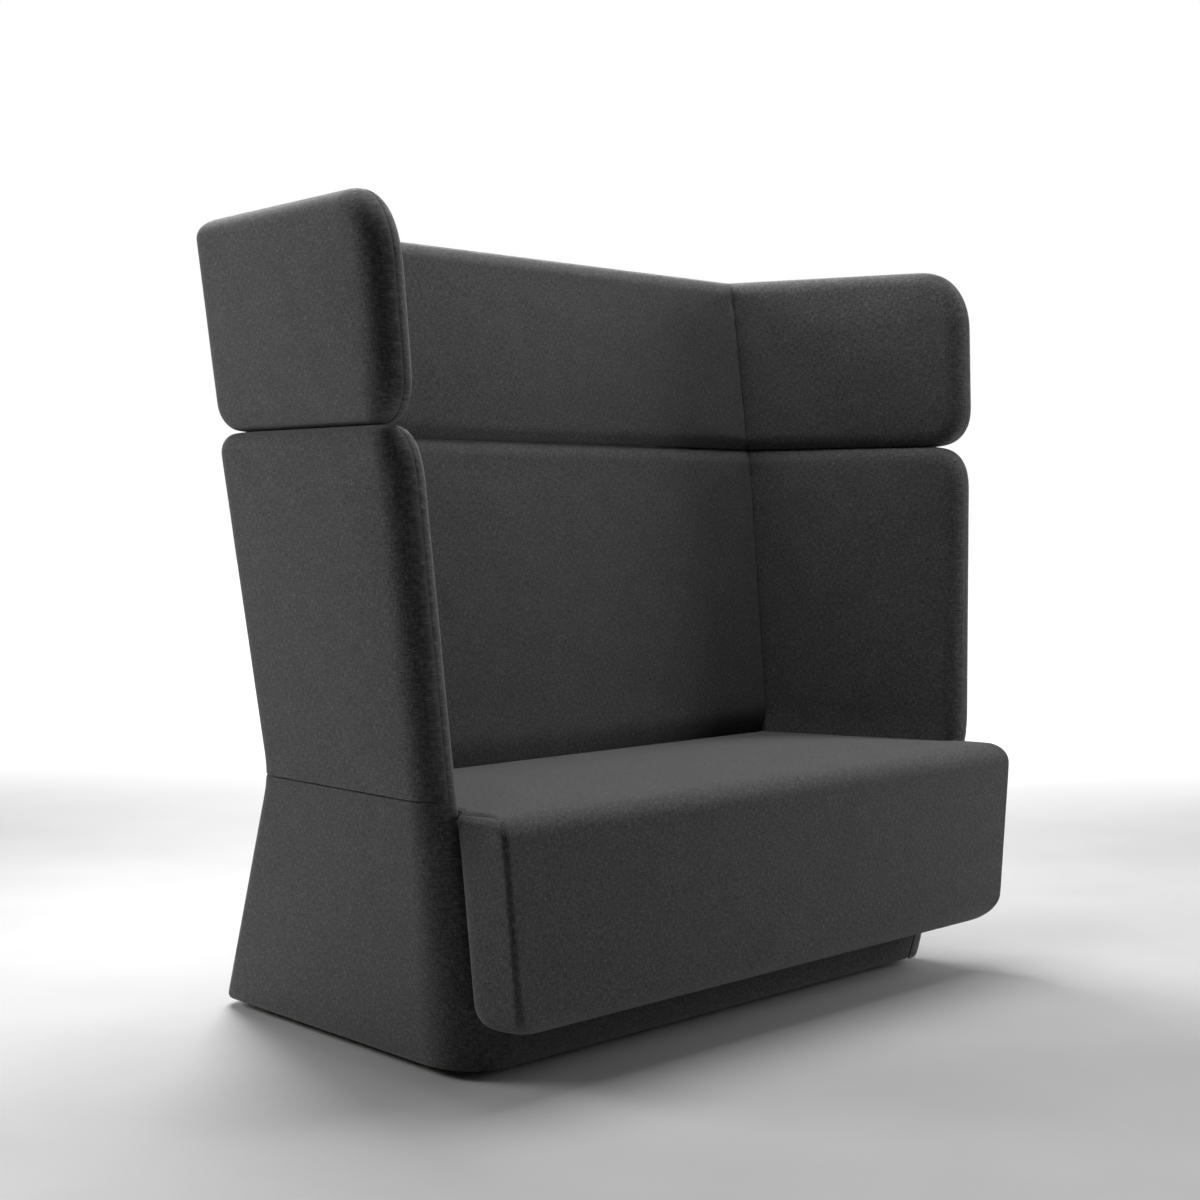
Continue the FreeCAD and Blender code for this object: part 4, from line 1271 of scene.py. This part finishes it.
@dataclass
class Studio:
    """Pale floor, soft light and the camera."""

    eye: Triple = (-3.0941, -2.6882, 0.8828)
    yaw: float = 49.06
    pitch: float = 2.21
    lens: float = 66.88
    sensor: float = 36.0
    floor_size: float = 60.0
    floor_stops: tuple[Pair, ...] = ((0.3, 0.42), (0.7, 0.45))
    floor_noise: Pair = (3.0, 3.0)
    floor_roughness: float = 0.8
    glow_span: Pair = (1.4, 4.6)
    sky_stops: tuple[Pair, ...] = ((0.0, 0.02), (0.35, 0.05), (0.75, 0.16), (0.93, 1.0))

    @property
    def ahead(self) -> Triple:
        """Level direction in which the camera looks."""
        return math.sin(math.radians(self.yaw)), math.cos(math.radians(self.yaw)), 0.0

    @staticmethod
    def greys(stops: tuple[Pair, ...]) -> list[tuple[float, tuple]]:
        """Turn stops of a grey level into stops of a colour."""
        return [(place, (level, level, level)) for place, level in stops]

    def camera(self) -> None:
        """Stand the camera at the front left."""
        data = bpy.data.cameras.new("camera")
        data.lens = self.lens
        data.sensor_width = self.sensor
        eye = bpy.data.objects.new("camera", data)
        eye.location = self.eye
        eye.rotation_euler = (math.radians(90.0 - self.pitch), 0.0, math.radians(-self.yaw))
        bpy.context.scene.collection.objects.link(eye)
        bpy.context.scene.camera = eye

    def floor(self) -> None:
        """Lay a pale floor that glows softly far behind the sofa."""
        half = self.floor_size / 2.0
        corners = [(-half, -half, 0.0), (half, -half, 0.0), (half, half, 0.0), (-half, half, 0.0)]
        mesh = bpy.data.meshes.new("floor")
        mesh.from_pydata(corners, [], [(0, 1, 2, 3)])
        floor = bpy.data.objects.new("floor", mesh)
        bpy.context.scene.collection.objects.link(floor)
        tree = NodeTree(bpy.data.materials.new("pale_floor"))
        place = tree.place()
        colour = tree.ramp(tree.noise(place, *self.floor_noise), self.greys(self.floor_stops))
        away = tree.add("ShaderNodeVectorMath", {0: place, 1: self.ahead}, operation="DOT_PRODUCT")
        near, far = self.glow_span
        span = {"Value": away.outputs["Value"], "From Min": near, "From Max": far}
        glow = tree.add("ShaderNodeMapRange", span, interpolation_type="SMOOTHSTEP")
        mesh.materials.append(tree.close(tree.add("ShaderNodeBsdfPrincipled", {
            "Base Color": colour, "Roughness": self.floor_roughness, "Emission Color": (1.0, 1.0, 1.0, 1.0),
            "Emission Strength": glow.outputs[0]})))

    def light(self) -> None:
        """Light the room: a dim sky that is white behind the sofa, and the soft lamps."""
        tree = NodeTree(bpy.data.worlds.new("studio"))
        way = tree.add("ShaderNodeTexCoord").outputs["Generated"]
        facing = tree.add("ShaderNodeVectorMath", {0: way, 1: self.ahead}, operation="DOT_PRODUCT")
        share = tree.add("ShaderNodeMapRange", {"Value": facing.outputs["Value"], "From Min": -1.0})
        colour = tree.ramp(share.outputs[0], self.greys(self.sky_stops))
        sky = tree.add("ShaderNodeBackground", {"Color": colour, "Strength": 1.0})
        bpy.context.scene.world = tree.close(sky, "ShaderNodeOutputWorld")
        bpy.context.scene.view_settings.view_transform = "Standard"
        for lamp in LAMPS:
            lamp.hang()

    def build(self) -> None:
        """Set the studio up."""
        self.floor()
        self.light()
        self.camera()


def dress_frame() -> None:
    """Give every solid that stays in view its finish."""
    for finish, names in NODE_FINISHES.items():
        for name in names:
            finish.dress(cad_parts[name])
            LOG.info("%s: %s", name, finish.name)


def main() -> None:
    """Build the sofa piece by piece and set it in the studio."""
    logging.basicConfig(level=logging.INFO, format="%(name)s: %(message)s")
    dress_frame()
    WallBand("head", low=1.018, high=1.373, splay=0.22, length=0.540, top_corner=(0.085, 0.115),
             bottom_corner=(0.070, 0.075), top_groove=0.0008, bottom_groove=-0.0009, pinch=0.006).build(WOOL)
    WallBand("shell", low=0.452, high=1.018, splay=0.19, length=0.510, top_corner=(0.062, 0.080),
             bottom_corner=None, top_rise=0.038, top_pressed=True, top_groove=-0.0009).build(WOOL)
    BaseCovers().build(WOOL)
    Seat().build(WOOL)
    DustCover().build(LINING)
    Studio().build()


if __name__ == "__main__":
    main()
